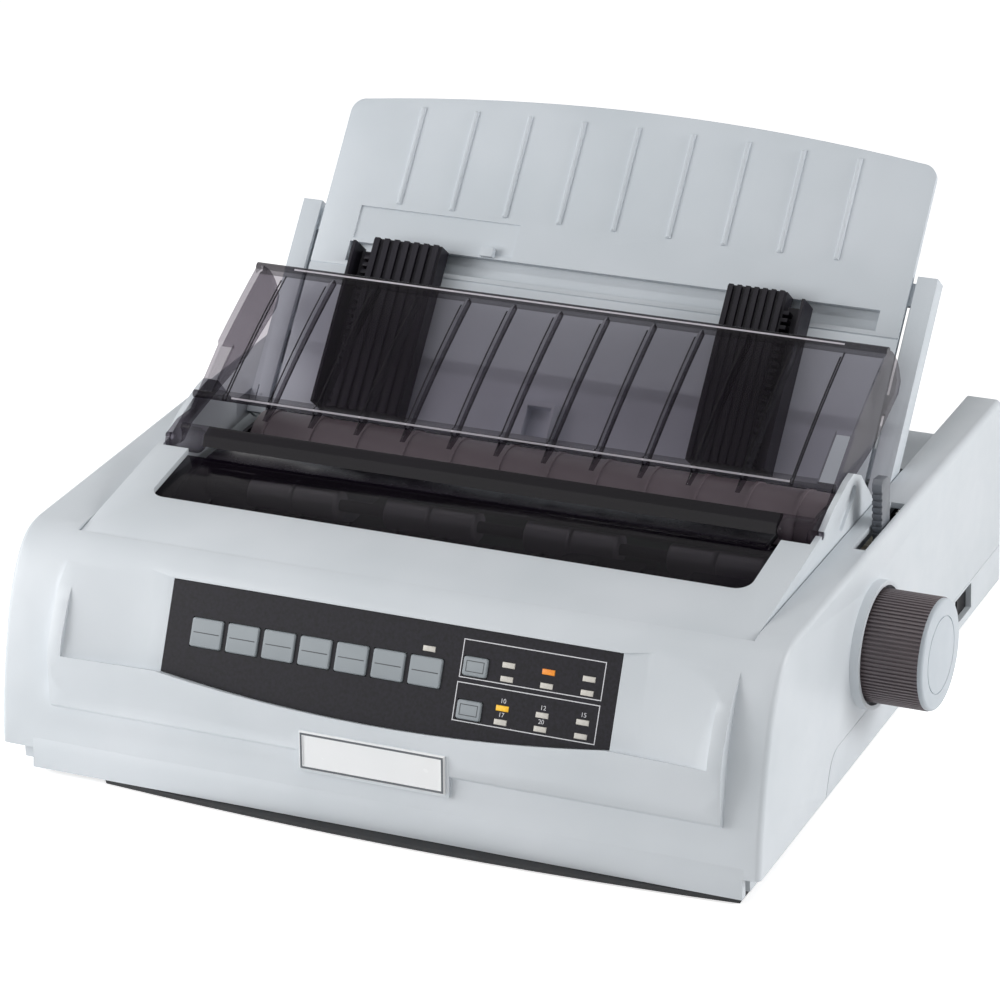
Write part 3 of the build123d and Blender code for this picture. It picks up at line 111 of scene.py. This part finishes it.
def sloped_frame(y, z, slope):
    """Matrix of a sloping face through that point: x across, y up the slope, z out of it."""
    across = Vector((1, 0, 0))
    up = Vector((0, math.cos(slope), math.sin(slope)))
    turn = Matrix((across, up, across.cross(up))).transposed().to_4x4()
    return Matrix.Translation(place(0, y, z)) @ turn


def panel_frame():
    """Matrix of the operator panel's face, from its upper edge."""
    return sloped_frame(*PANEL_TOP, PANEL_SLOPE)


def sheet_frame():
    """Matrix of the separator's face, level with the tops of its rails."""
    return sloped_frame(*SHEET_TOP, SHEET_SLOPE)


def plate_frame():
    """Matrix of the name plate's face: x across, y up, z out to the front."""
    turn = Matrix.Rotation(math.pi / 2 - PLATE_LEAN, 4, "X")
    back = Matrix.Translation((0, 0, PLATE_THICK * MM))
    return Matrix.Translation(place(*PLATE_MIDDLE)) @ turn @ back


# ------------------------------------------------------------------ materials
def linear(code):
    """An sRGB hex colour as linear RGBA."""
    parts = [int(code[i:i + 2], 16) / 255 for i in (1, 3, 5)]
    return [c / 12.92 if c <= 0.04045 else ((c + 0.055) / 1.055) ** 2.4 for c in parts] + [1.0]


def add_node(material, kind, settings=None, inputs=None):
    """Adds a node, sets its properties, and fills or links its inputs."""
    made = material.node_tree.nodes.new(kind)
    for name, value in (settings or {}).items():
        setattr(made, name, value)
    for name, value in (inputs or {}).items():
        if isinstance(value, bpy.types.NodeSocket):
            material.node_tree.links.new(value, made.inputs[name])
        else:
            made.inputs[name].default_value = value
    return made


def new_material(name):
    """An empty material with its surface shader and the object's coordinates."""
    material = bpy.data.materials.new(name)
    material.use_nodes = True
    material.node_tree.nodes.clear()
    shader = add_node(material, "ShaderNodeBsdfPrincipled")
    out = add_node(material, "ShaderNodeOutputMaterial", inputs={"Surface": shader.outputs["BSDF"]})
    out.location = (300, 0)
    place_node = add_node(material, "ShaderNodeTexCoord")
    return material, shader, place_node.outputs["Object"]


def cloudy(material, coordinates, size_mm, detail=2.0, stretch=(1, 1, 1)):
    """Soft noise with features of that size."""
    spread = add_node(material, "ShaderNodeMapping", inputs={"Vector": coordinates, "Scale": stretch})
    noise = add_node(material, "ShaderNodeTexNoise",
                     inputs={"Vector": spread.outputs["Vector"], "Scale": 1000.0 / size_mm, "Detail": detail})
    return noise.outputs["Fac"]


def between(material, amount, low, high):
    """Turns a 0 to 1 pattern into numbers between low and high."""
    ranged = add_node(material, "ShaderNodeMapRange",
                      inputs={"Value": amount, "From Min": 0.3, "From Max": 0.7, "To Min": low, "To Max": high})
    return ranged.outputs["Result"]


def colour_between(material, amount, low, high):
    """Turns a 0 to 1 pattern into colours between two."""
    ramp = add_node(material, "ShaderNodeValToRGB", inputs={"Fac": amount})
    ramp.color_ramp.elements[0].position = 0.3
    ramp.color_ramp.elements[0].color = linear(low)
    ramp.color_ramp.elements[1].position = 0.7
    ramp.color_ramp.elements[1].color = linear(high)
    return ramp.outputs["Color"]


def link(material, value, socket):
    """Joins an output to an input."""
    material.node_tree.links.new(value, socket)


def moulded_plastic(name, low, high, roughness, grain_mm, grain_depth_mm, specular=0.5):
    """Injection moulded plastic: an even colour, and the spark-eroded grain of its mould."""
    material, shader, where = new_material(name)
    tone = colour_between(material, cloudy(material, where, 60.0), low, high)
    link(material, tone, shader.inputs["Base Color"])
    sheen = between(material, cloudy(material, where, 9.0, 3.0), roughness - 0.05, roughness + 0.06)
    link(material, sheen, shader.inputs["Roughness"])
    shader.inputs["Specular IOR Level"].default_value = specular
    grain = cloudy(material, where, grain_mm, 3.0)
    bump = add_node(material, "ShaderNodeBump",
                    inputs={"Height": grain, "Strength": 0.6, "Distance": grain_depth_mm * MM})
    link(material, bump.outputs["Normal"], shader.inputs["Normal"])
    return material


def smoked_styrene(name, clear, edge_on, shine, ribbed=False):
    """Clear smoked styrene, polished in its mould: deeper where it is seen edge on or is thick, and, when
    ribbed, with pale painted highlights along its beads.
    """
    material, shader, where = new_material(name)
    out = next(node for node in material.node_tree.nodes if node.bl_idname == "ShaderNodeOutputMaterial")
    tint = colour_between(material, cloudy(material, where, 80.0), "#09060C", "#100A14")
    shader.inputs["IOR"].default_value = 1.55
    shader.inputs["Specular IOR Level"].default_value = shine
    facing = add_node(material, "ShaderNodeLayerWeight", inputs={"Blend": 0.35})
    depth = add_node(material, "ShaderNodeMapRange",
                     inputs={"Value": facing.outputs["Facing"], "To Min": clear, "To Max": edge_on})
    thick = depth.outputs["Result"]
    if ribbed:
        axes = add_node(material, "ShaderNodeSeparateXYZ", inputs={"Vector": where})
        thick = deepest(material, thick, rib_depth(material, axes))
        for span in (TOP_BEAD, FRONT_ROD, FRONT_BEAM):
            thick = deepest(material, thick, bead_depth(material, axes, *span))
        # Pale painted highlights along the two beads: a lighter colour mixed into the tint, with more opacity
        # there.
        for span in (TOP_PAINTED_HIGHLIGHT, FRONT_PAINTED_HIGHLIGHT):
            edge = bead_depth(material, axes, *span)
            thick = deepest(material, thick, edge)
            tint = add_node(material, "ShaderNodeMix", {"data_type": "RGBA"},
                            {0: edge, 6: tint, 7: linear(PAINTED_HIGHLIGHT_COLOUR)}).outputs[2]
    link(material, tint, shader.inputs["Base Color"])
    clear_share = add_node(material, "ShaderNodeBsdfTransparent", inputs={"Color": linear(CLEAR_TINT)})
    mixed = add_node(material, "ShaderNodeMixShader",
                     inputs={0: thick, 1: clear_share.outputs[0], 2: shader.outputs[0]})
    link(material, mixed.outputs[0], out.inputs["Surface"])
    flow = cloudy(material, where, 30.0, 1.0, (1.0, 0.2, 0.2))
    link(material, between(material, flow, 0.04, 0.09), shader.inputs["Roughness"])
    waves = add_node(material, "ShaderNodeBump",
                     inputs={"Height": flow, "Strength": 0.10, "Distance": 0.2 * MM})
    link(material, waves.outputs["Normal"], shader.inputs["Normal"])
    material.surface_render_method = "BLENDED"
    return material


def deepest(material, one, other):
    """The larger of two numbers."""
    return add_node(material, "ShaderNodeMath", {"operation": "MAXIMUM"}, {0: one, 1: other}).outputs["Value"]


def inside(material, value, low, high, amount):
    """That amount between two values, and nothing outside them."""
    middle, half = (low + high) / 2, (high - low) / 2
    near = add_node(material, "ShaderNodeMath", {"operation": "COMPARE"}, {0: value, 1: middle, 2: half})
    scaled = add_node(material, "ShaderNodeMath", {"operation": "MULTIPLY"},
                      {0: near.outputs["Value"], 1: amount})
    return scaled.outputs["Value"]


def across_span(material, coordinate, span_mm, shift_mm, amount):
    """That amount between two places of the drawings along one axis, in millimetres."""
    low, high = ((end + shift_mm) * MM for end in span_mm)
    return inside(material, coordinate, low, high, amount)


def rib_depth(material, axes):
    """How opaque the ribs under the smoked cover are, and nothing between them."""
    along = add_node(material, "ShaderNodeMath", {"operation": "ADD"},
                     {0: axes.outputs["X"], 1: -(RIB_MIDDLE + DRAWING_SHIFT.x - RIB_PERIODS * RIB_PITCH) * MM})
    step = add_node(material, "ShaderNodeMath", {"operation": "MODULO"},
                    {0: along.outputs["Value"], 1: RIB_PITCH * MM})
    half = RIB_PITCH / 2
    edges = (half - RIB_HALF_WIDTH, half + RIB_HALF_WIDTH)
    line = across_span(material, step.outputs["Value"], edges, 0.0, RIB_ALPHA)
    over = across_span(material, axes.outputs["Z"], RIB_HEIGHTS, 0.0, 1.0)
    return add_node(material, "ShaderNodeMath", {"operation": "MULTIPLY"},
                    {0: line, 1: over}).outputs["Value"]


def bead_depth(material, axes, half_width, back_mm, up_mm, amount):
    """How opaque a bead, rod or beam along the cover is, and nothing outside it."""
    wide_mm = (-half_width, half_width)
    back = across_span(material, axes.outputs["Y"], back_mm, DRAWING_SHIFT.y, amount)
    up = across_span(material, axes.outputs["Z"], up_mm, 0.0, 1.0)
    wide = across_span(material, axes.outputs["X"], wide_mm, DRAWING_SHIFT.x, 1.0)
    part = add_node(material, "ShaderNodeMath", {"operation": "MULTIPLY"}, {0: back, 1: up})
    whole = add_node(material, "ShaderNodeMath", {"operation": "MULTIPLY"},
                     {0: part.outputs["Value"], 1: wide})
    return whole.outputs["Value"]


def panel_film():
    """Screen-printed polycarbonate film: near black, with the fine speckle of its matte face."""
    material, shader, where = new_material("Polycarbonate film, screen printed and matte")
    speckle = cloudy(material, where, 1.6, 4.0)
    link(material, colour_between(material, speckle, "#0A090D", "#201E26"), shader.inputs["Base Color"])
    link(material, between(material, speckle, 0.34, 0.50), shader.inputs["Roughness"])
    shader.inputs["Specular IOR Level"].default_value = 0.2
    bump = add_node(material, "ShaderNodeBump",
                    inputs={"Height": speckle, "Strength": 0.3, "Distance": 0.03 * MM})
    link(material, bump.outputs["Normal"], shader.inputs["Normal"])
    return material


def metal(name, colour, roughness, grain_mm, stretch, depth_mm=0.01):
    """Metal whose fine grain lies along the way it was rolled, drawn or turned."""
    material, shader, where = new_material(name)
    grain = cloudy(material, where, grain_mm, 4.0, stretch)
    link(material, colour_between(material, grain, colour[0], colour[1]), shader.inputs["Base Color"])
    link(material, between(material, grain, roughness - 0.06, roughness + 0.08), shader.inputs["Roughness"])
    shader.inputs["Metallic"].default_value = 1.0
    bump = add_node(material, "ShaderNodeBump",
                    inputs={"Height": grain, "Strength": 0.3, "Distance": depth_mm * MM})
    link(material, bump.outputs["Normal"], shader.inputs["Normal"])
    return material


def rubber(name, low, high, grain_mm):
    """Ground or moulded rubber: dark, dry and finely grained."""
    material, shader, where = new_material(name)
    grain = cloudy(material, where, grain_mm, 3.0)
    link(material, colour_between(material, grain, low, high), shader.inputs["Base Color"])
    link(material, between(material, grain, 0.72, 0.86), shader.inputs["Roughness"])
    shader.inputs["Specular IOR Level"].default_value = 0.3
    bump = add_node(material, "ShaderNodeBump",
                    inputs={"Height": grain, "Strength": 0.5, "Distance": 0.05 * MM})
    link(material, bump.outputs["Normal"], shader.inputs["Normal"])
    return material


def lit_lens(name, code, glow):
    """Coloured lens with the lamp behind it on or off; its colour and glow vary a little at random."""
    material, shader, where = new_material(name)
    cloud = cloudy(material, where, 2.0)
    body = colour_between(material, cloud, code[0], code[1])
    link(material, body, shader.inputs["Base Color"])
    link(material, body, shader.inputs["Emission Color"])
    shader.inputs["Emission Strength"].default_value = glow
    link(material, between(material, cloud, 0.25, 0.40), shader.inputs["Roughness"])
    return material


def circuit_board():
    """Glass epoxy under green solder mask, with the darker weave of its tracks."""
    material, shader, where = new_material("Glass epoxy board, green solder mask")
    tracks = add_node(material, "ShaderNodeTexBrick",
                      inputs={"Vector": where, "Scale": 1000.0 / 14.0, "Color1": linear("#14502F"),
                              "Color2": linear("#1B6A3C"), "Mortar": linear("#0E3B23"), "Mortar Size": 0.04})
    link(material, tracks.outputs["Color"], shader.inputs["Base Color"])
    link(material, between(material, cloudy(material, where, 3.0), 0.30, 0.45), shader.inputs["Roughness"])
    return material


def printed_ink(name, low, high):
    """Screen-printed ink, a thin even film."""
    material, shader, where = new_material(name)
    cloud = cloudy(material, where, 1.0)
    link(material, colour_between(material, cloud, low, high), shader.inputs["Base Color"])
    link(material, between(material, cloud, 0.45, 0.6), shader.inputs["Roughness"])
    return material


# Light cool grey ABS off a spark-eroded mould: matte, and speckled where light grazes it. The real
# grain is about 0.3 mm; it is drawn at 0.9 mm so that it shows.
housing_abs = moulded_plastic("ABS, light cool grey, spark-eroded mould",
                              "#CFD5DA", "#D7DCE1", 0.46, 0.9, 0.035)
separator_abs = moulded_plastic("ABS, light blue grey, fine grained mould",
                                "#C9D0D6", "#D2D8DE", 0.50, 1.1, 0.04)
# The same ABS in grey; the finger faces are smoother.
key_abs = moulded_plastic("ABS, mid grey, satin mould", "#8B9297", "#959CA1", 0.38, 0.8, 0.01)
lever_abs = moulded_plastic("ABS, slate grey, satin mould", "#63676E", "#6D7178", 0.40, 0.8, 0.015)
guide_abs = moulded_plastic("ABS, charcoal, satin mould", "#1C1A20", "#26242B", 0.36, 0.8, 0.02, 0.15)
pan_abs = moulded_plastic("ABS, dark charcoal, coarse grained mould",
                          "#2C2D2F", "#353638", 0.60, 1.2, 0.05, 0.3)
chute_abs = moulded_plastic("ABS, grey brown, fine grained mould", "#5C5257", "#665C61", 0.48, 0.9, 0.02)
knob_abs = moulded_plastic("ABS, taupe, ribbed grip", "#655C5F", "#6F6669", 0.48, 0.8, 0.02)
cap_abs = moulded_plastic("ABS, pale blue grey, satin mould", "#BCC4CB", "#C5CCD3", 0.40, 0.8, 0.012)
plate_abs = moulded_plastic("Styrene plate, white, polished", "#F0F2F4", "#F5F6F7", 0.22, 2.0, 0.004)
roller_acetal = moulded_plastic("Acetal, natural white, turned", "#D3D0D8", "#DCD9E0", 0.35, 0.8, 0.01)
gear_acetal = moulded_plastic("Acetal, natural ivory, moulded teeth", "#D9D5C8", "#E2DED2", 0.35, 0.8, 0.01)
nylon = moulded_plastic("Nylon, black, glass filled", "#0F0E12", "#17161A", 0.55, 0.7, 0.02, 0.2)
bezel_abs = moulded_plastic("Styrene rim, graphite, metallised look", "#54585E", "#62666C", 0.22, 0.8, 0.004)
smoked = smoked_styrene("Smoked clear styrene, polished mould", 0.16, 0.84, 0.14, True)
window_styrene = smoked_styrene("Smoked clear styrene, window", 0.52, 0.86, 0.04)
deep_styrene = moulded_plastic("Deep smoked styrene, nearly black",
                               "#0B0710", "#120C18", 0.25, 2.0, 0.004, 0.15)
film = panel_film()
platen_rubber = rubber("Nitrile rubber, ground platen", "#141415", "#1D1D1F", 0.6)
foot_rubber = rubber("Moulded rubber feet", "#151515", "#202020", 0.8)
belt_rubber = rubber("Toothed belt rubber", "#121212", "#1B1B1B", 0.7)
# Ground shafting shines in rings round its axis, so the grain is stretched round X.
shaft_steel = metal("Steel shaft, ground", ("#B4B6B8", "#C9CBCD"), 0.24, 1.2, (8, 0.6, 0.6))
sheet_steel = metal("Steel sheet, zinc plated", ("#A9ADB1", "#C0C4C8"), 0.40, 4.0, (1, 1, 1), 0.02)
frame_steel = metal("Steel sheet, black phosphated", ("#1C1A1F", "#28262B"), 0.50, 3.0, (1, 1, 1), 0.02)
head_metal = metal("Die-cast aluminium, black anodised", ("#2E2F31", "#3C3D40"), 0.42, 1.0, (1, 1, 1), 0.02)
motor_paint = moulded_plastic("Black enamel on a steel can", "#1A1B1D", "#232427", 0.30, 1.5, 0.01)
bail_steel = metal("Steel bail, black nickel", ("#3A383E", "#4C4A50"), 0.32, 1.2, (8, 0.6, 0.6))
board = circuit_board()
lens_off = lit_lens("Lens, warm white, lamp off", ("#CFCBC3", "#DAD6CE"), 0.0)
lens_orange = lit_lens("Lens, orange, lamp on", ("#D87A1C", "#E8922E"), 0.25)
lens_amber = lit_lens("Lens, amber, lamp on", ("#E3AA1E", "#F0C238"), 0.30)
white_ink = printed_ink("White ink, screen printed", "#D6D6DA", "#E2E2E6")
dark_ink = printed_ink("Dark grey ink, screen printed", "#3C4044", "#484C50")


# ------------------------------------------------------------------ CAD nodes and their finishes
FINISHES = {
    housing_abs: {"upper_housing": 0.5, "lower_housing": 0.4, "access_cover": 0.5},
    pan_abs: {"base_pan": 0.3},
    foot_rubber: {"rubber_feet": 0.2},
    film: {"operator_panel": 0.0},
    plate_abs: {"name_plate": 0.0},
    smoked: {"smoked_cover": 0.25},
    window_styrene: {"access_window": 0.2},
    separator_abs: {"separator_frame": 0.4, "separator_panel": 0.3},
    guide_abs: {"paper_guide_left": 0.25, "paper_guide_right": 0.25},
    chute_abs: {"paper_chute": 0.2},
    bail_steel: {"bail_frame": 0.0},
    roller_acetal: {"bail_rollers": 0.0},
    platen_rubber: {"platen": 0.0},
    shaft_steel: {"platen_shaft": 0.0, "tractor_shaft": 0.0, "tractor_rod": 0.0, "carriage_shaft": 0.0},
    gear_acetal: {"platen_gear": 0.0, "idler_gear": 0.0, "feed_pinion": 0.0, "drive_pulley": 0.0,
                  "idler_pulley": 0.0},
    motor_paint: {"feed_motor": 0.3, "carriage_motor": 0.3},
    knob_abs: {"knob_body": 0.15},
    cap_abs: {"knob_cap": 0.0},
    frame_steel: {"side_frame_left": 0.0, "side_frame_right": 0.0, "frame_beam": 0.0},
    sheet_steel: {"power_supply": 0.3, "interface_ports": 0.0, "screws": 0.0},
    nylon: {"carriage": 0.3, "ribbon_cartridge": 0.3, "tractor_left": 0.2, "tractor_right": 0.2,
            "power_switch": 0.0, "power_rocker": 0.2, "power_inlet": 0.2},
    head_metal: {"print_head": 0.2},
    lever_abs: {"paper_lever": 0.4, "ribbon_knob": 0.2, "tractor_door_left": 0.15, "tractor_door_right": 0.15},
    belt_rubber: {"timing_belt": 0.0},
    board: {"main_board": 0.0},
    key_abs: {f"key_{number}": 0.25 for number in range(1, 8)} | {"key_quality": 0.25, "key_pitch": 0.25},
}


def finish_node(name, material, rounding):
    """Gives a CAD node its finish, smooth curves, and the small rounding of its moulded edges."""
    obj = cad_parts[name]
    obj.data.materials.clear()
    obj.data.materials.append(material)
    for face in obj.data.polygons:
        face.use_smooth = True
    weld = obj.modifiers.new("merge", "WELD")
    weld.merge_threshold = 0.002 * MM
    if rounding:
        bevel = obj.modifiers.new("edge", "BEVEL")
        bevel.width = rounding * MM
        bevel.segments = 2
        bevel.limit_method = "ANGLE"
        bevel.angle_limit = math.radians(38)
        bevel.harden_normals = False
    split = obj.modifiers.new("creases", "EDGE_SPLIT")
    split.split_angle = math.radians(32)
    split.use_edge_sharp = False


def finish_all_nodes():
    """Dresses every CAD node."""
    for material, nodes in FINISHES.items():
        for name, rounding in nodes.items():
            finish_node(name, material, rounding)


# ------------------------------------------------------------------ modelling helpers
def start_fresh():
    """Nothing selected and nothing being edited."""
    if bpy.context.mode != "OBJECT":
        bpy.ops.object.mode_set(mode="OBJECT")
    bpy.ops.object.select_all(action="DESELECT")


def seat(obj, matrix, material, body, name):
    """Moves a piece built about the origin to its seat, bakes the place into its mesh and dresses it."""
    obj.name = name
    obj.data.name = name
    obj.data.transform(matrix)
    obj.data.materials.clear()
    obj.data.materials.append(material)
    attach(obj, body)
    return obj


def flat_frame(width, height, line, thick):
    """A printed or pressed frame: a face inset by its line width, its middle removed, then thickened."""
    start_fresh()
    bpy.ops.mesh.primitive_plane_add(size=1, location=(0, 0, 0))
    obj = bpy.context.object
    obj.scale = (width * MM, height * MM, 1)
    bpy.ops.object.transform_apply(location=False, rotation=False, scale=True)
    bpy.ops.object.mode_set(mode="EDIT")
    bpy.ops.mesh.select_all(action="SELECT")
    bpy.ops.mesh.inset(thickness=line * MM, depth=0)
    bpy.ops.mesh.delete(type="FACE")
    bpy.ops.mesh.select_all(action="SELECT")
    bpy.ops.mesh.extrude_region_move(TRANSFORM_OT_translate={"value": (0, 0, thick * MM)})
    bpy.ops.mesh.select_all(action="SELECT")
    bpy.ops.mesh.normals_make_consistent(inside=False)
    bpy.ops.object.mode_set(mode="OBJECT")
    return obj


def raised_bar(width, height, thick, round_mm):
    """A low bar with rounded upper edges, standing on z = 0."""
    start_fresh()
    bpy.ops.mesh.primitive_cube_add(size=1, location=(0, 0, 0.5))
    obj = bpy.context.object
    obj.scale = (width * MM, height * MM, thick * MM)
    bpy.ops.object.transform_apply(location=True, rotation=False, scale=True)
    low = min(vertex.co.z for vertex in obj.data.vertices)
    obj.data.transform(Matrix.Translation((0, 0, -low)))
    bpy.ops.object.mode_set(mode="EDIT")
    bpy.ops.mesh.select_all(action="DESELECT")
    bpy.ops.object.mode_set(mode="OBJECT")
    for edge in obj.data.edges:
        ends = [obj.data.vertices[i].co.z for i in edge.vertices]
        edge.select = min(ends) > 0.5 * thick * MM
    bpy.ops.object.mode_set(mode="EDIT")
    bpy.ops.mesh.bevel(offset=round_mm * MM, segments=3, affect="EDGES")
    bpy.ops.object.mode_set(mode="OBJECT")
    bpy.ops.object.shade_smooth_by_angle(angle=math.radians(40))
    return obj


def number(text, size):
    """A printed number, lying on z = 0."""
    start_fresh()
    bpy.ops.object.text_add(location=(0, 0, 0))
    obj = bpy.context.object
    obj.data.body = text
    obj.data.size = size * MM
    obj.data.align_x = "CENTER"
    obj.data.align_y = "CENTER"
    obj.data.extrude = 0.02 * MM
    bpy.ops.object.convert(target="MESH")
    obj = bpy.context.object
    low = min(vertex.co.z for vertex in obj.data.vertices)
    obj.data.transform(Matrix.Translation((0, 0, -low)))
    return obj


def on_panel(x, down, out=0.0):
    """Matrix of a place on the operator panel."""
    return panel_frame() @ Matrix.Translation((x * MM, -down * MM, out * MM))


# ------------------------------------------------------------------ pieces
def add_lenses():
    """The rows of lamp lenses; two lamps are on."""
    lit = {(LIGHT_COLUMNS[1], LIGHT_ROWS[0]): lens_orange, (LIGHT_COLUMNS[0], LIGHT_ROWS[2]): lens_amber}
    places = [(x, down) for down in LIGHT_ROWS for x in LIGHT_COLUMNS] + [READY_LIGHT]
    first = None
    for index, spot in enumerate(places):
        lens = raised_bar(LIGHT_SIZE[0] - 0.1, LIGHT_SIZE[1] - 0.1, 2.3, 0.3)
        seat(lens, on_panel(*spot, -2.0), lit.get(spot, lens_off), "housing", f"lens_{index + 1:02d}")
        first = first or lens
    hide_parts("status_lights")


def add_panel_print():
    """Printed frames round the two groups of lamps, and the numbers of the pitch group."""
    groups = (("quality_frame", (73.3, 14.1), (72.2, 18.2)), ("pitch_frame", (73.1, 34.4), (72.5, 18.4)))
    for name, middle, size in groups:
        line = flat_frame(*size, 0.45, 0.04)
        seat(line, on_panel(*middle, 0.01), white_ink, "housing", name)
    upper, lower = 30.9, 37.4
    pitches = (("10", 0, upper), ("12", 1, upper), ("15", 2, upper), ("17", 0, lower), ("20", 1, lower))
    for text, column, down in pitches:
        digits = number(text, 3.0)
        seat(digits, on_panel(LIGHT_COLUMNS[column], down, 0.01), white_ink, "housing", f"pitch_{text}")


def add_key_lines():
    """The thin line that divides each key's face."""
    for index in range(7):
        mark = raised_bar(KEY_WIDTH - 3.0, 0.5, 0.03, 0.01)
        spot = on_panel(KEY_FIRST_X + index * KEY_PITCH, KEY_ROW_DOWN, KEY_PROUD + 0.005)
        seat(mark, spot, dark_ink, f"key_{index + 1}_cap", f"key_line_{index + 1}")
    for name, down in SMALL_KEYS.items():
        mark = flat_frame(SMALL_KEY_WIDTH - 3.2, 5.4, 0.4, 0.03)
        seat(mark, on_panel(SMALL_KEY_X, down, KEY_PROUD + 0.005), dark_ink, f"{name}_cap", f"{name}_mark")


def add_plate_rim():
    """The darker rim round the bare name plate."""
    rim = flat_frame(PLATE_SIZE[0] - 1.2, PLATE_SIZE[1] - 1.2, 1.1, 0.05)
    seat(rim, plate_frame() @ Matrix.Translation((0, 0, -0.04 * MM)), bezel_abs, "housing", "plate_rim")


def add_window_bar():
    """Nearly black smoked bar along the window's rear edge, below the smoked cover's beam, for the dark band
    seen there.
    """
    bar = raised_bar(*WINDOW_BAR_SIZE)
    seat(bar, Matrix.Translation(place(*WINDOW_BAR_MIDDLE)), deep_styrene, "cover", "window_rear_bar")


def add_rail_backs():
    """Thin strips that close the separator's channel rails from behind."""
    for name, middle in (("rail_back_left", -RAIL_BACK_X), ("rail_back_right", RAIL_BACK_X)):
        strip = raised_bar(*RAIL_BACK_SIZE)
        spot = sheet_frame() @ Matrix.Translation((middle * MM, -RAIL_BACK_DOWN * MM, -RAIL_BACK_DEEP * MM))
        seat(strip, spot, separator_abs, "separator", name)


# ------------------------------------------------------------------ floor, light and camera
def add_floor():
    """A plain white floor that keeps the shadow and runs into the backdrop."""
    start_fresh()
    bpy.ops.mesh.primitive_plane_add(size=24, location=(0, 0, 0))
    floor = bpy.context.object
    floor.name = "floor"
    material, shader, where = new_material("White paper floor")
    tone = colour_between(material, cloudy(material, where, 400.0), "#F6F6F6", "#F8F8F8")
    link(material, tone, shader.inputs["Base Color"])
    shader.inputs["Roughness"].default_value = 0.9
    shader.inputs["Specular IOR Level"].default_value = 0.1
    shader.inputs["Emission Color"].default_value = (1, 1, 1, 1)
    lift = add_node(material, "ShaderNodeMath", {"operation": "MULTIPLY"}, {1: FLOOR_LIFT})
    link(material, seen_directly(material.node_tree), lift.inputs[0])
    link(material, lift.outputs[0], shader.inputs["Emission Strength"])
    floor.data.materials.append(material)


def seen_directly(tree):
    """1 where the camera sees the backdrop, also through clear plastic and in polished surfaces."""
    path = tree.nodes.new("ShaderNodeLightPath")
    total = path.outputs["Is Camera Ray"]
    for name in ("Is Glossy Ray", "Is Transmission Ray"):
        adding = tree.nodes.new("ShaderNodeMath")
        adding.operation = "MAXIMUM"
        tree.links.new(total, adding.inputs[0])
        tree.links.new(path.outputs[name], adding.inputs[1])
        total = adding.outputs[0]
    return total


def add_lamp(name, position, target, size, power):
    """A soft rectangular lamp, aimed at its target."""
    light = bpy.data.lights.new(name, "AREA")
    light.shape = "RECTANGLE"
    light.size, light.size_y = size
    light.energy = power
    obj = bpy.data.objects.new(name, light)
    obj.location = position
    obj.rotation_euler = (Vector(target) - Vector(position)).to_track_quat("-Z", "Y").to_euler()
    bpy.context.scene.collection.objects.link(obj)


def add_light():
    """White backdrop and four soft lamps."""
    world = bpy.data.worlds.new("studio")
    bpy.context.scene.world = world
    world.use_nodes = True
    tree = world.node_tree
    tree.nodes.clear()
    seen = seen_directly(tree)
    strength = tree.nodes.new("ShaderNodeMapRange")
    tree.links.new(seen, strength.inputs["Value"])
    strength.inputs["To Min"].default_value = WORLD_LIGHT
    strength.inputs["To Max"].default_value = WORLD_SEEN
    background = tree.nodes.new("ShaderNodeBackground")
    background.inputs["Color"].default_value = (1, 1, 1, 1)
    tree.links.new(strength.outputs["Result"], background.inputs["Strength"])
    out = tree.nodes.new("ShaderNodeOutputWorld")
    tree.links.new(background.outputs["Background"], out.inputs["Surface"])
    for lamp in LAMPS:
        add_lamp(*lamp)


def add_camera():
    """The photograph's viewpoint, worked out from the printer's straight edges."""
    azimuth, elevation, roll = (math.radians(a) for a in CAMERA_ANGLES)
    reach = math.cos(elevation)
    back = Vector((math.sin(azimuth) * reach, -math.cos(azimuth) * reach, math.sin(elevation)))
    level = Vector((math.cos(azimuth), math.sin(azimuth), 0))
    upright = back.cross(level)
    right = math.cos(roll) * level + math.sin(roll) * upright
    up = -math.sin(roll) * level + math.cos(roll) * upright
    eye = CAMERA_EYE[0] * right + CAMERA_EYE[1] * up + CAMERA_EYE[2] * back
    camera = bpy.data.cameras.new("photo_view")
    camera.sensor_width = SENSOR_WIDTH
    camera.lens = CAMERA_FOCAL * SENSOR_WIDTH
    camera.clip_start = 0.05
    camera.clip_end = 60
    obj = bpy.data.objects.new("photo_view", camera)
    turn = Matrix((right, up, back)).transposed().to_4x4()
    obj.matrix_world = Matrix.Translation(place(*eye)) @ turn
    bpy.context.scene.collection.objects.link(obj)
    bpy.context.scene.camera = obj


finish_all_nodes()
add_lenses()
add_panel_print()
add_key_lines()
add_plate_rim()
add_rail_backs()
add_window_bar()
add_floor()
add_light()
add_camera()
bpy.context.scene.view_settings.view_transform = "Standard"
start_fresh()
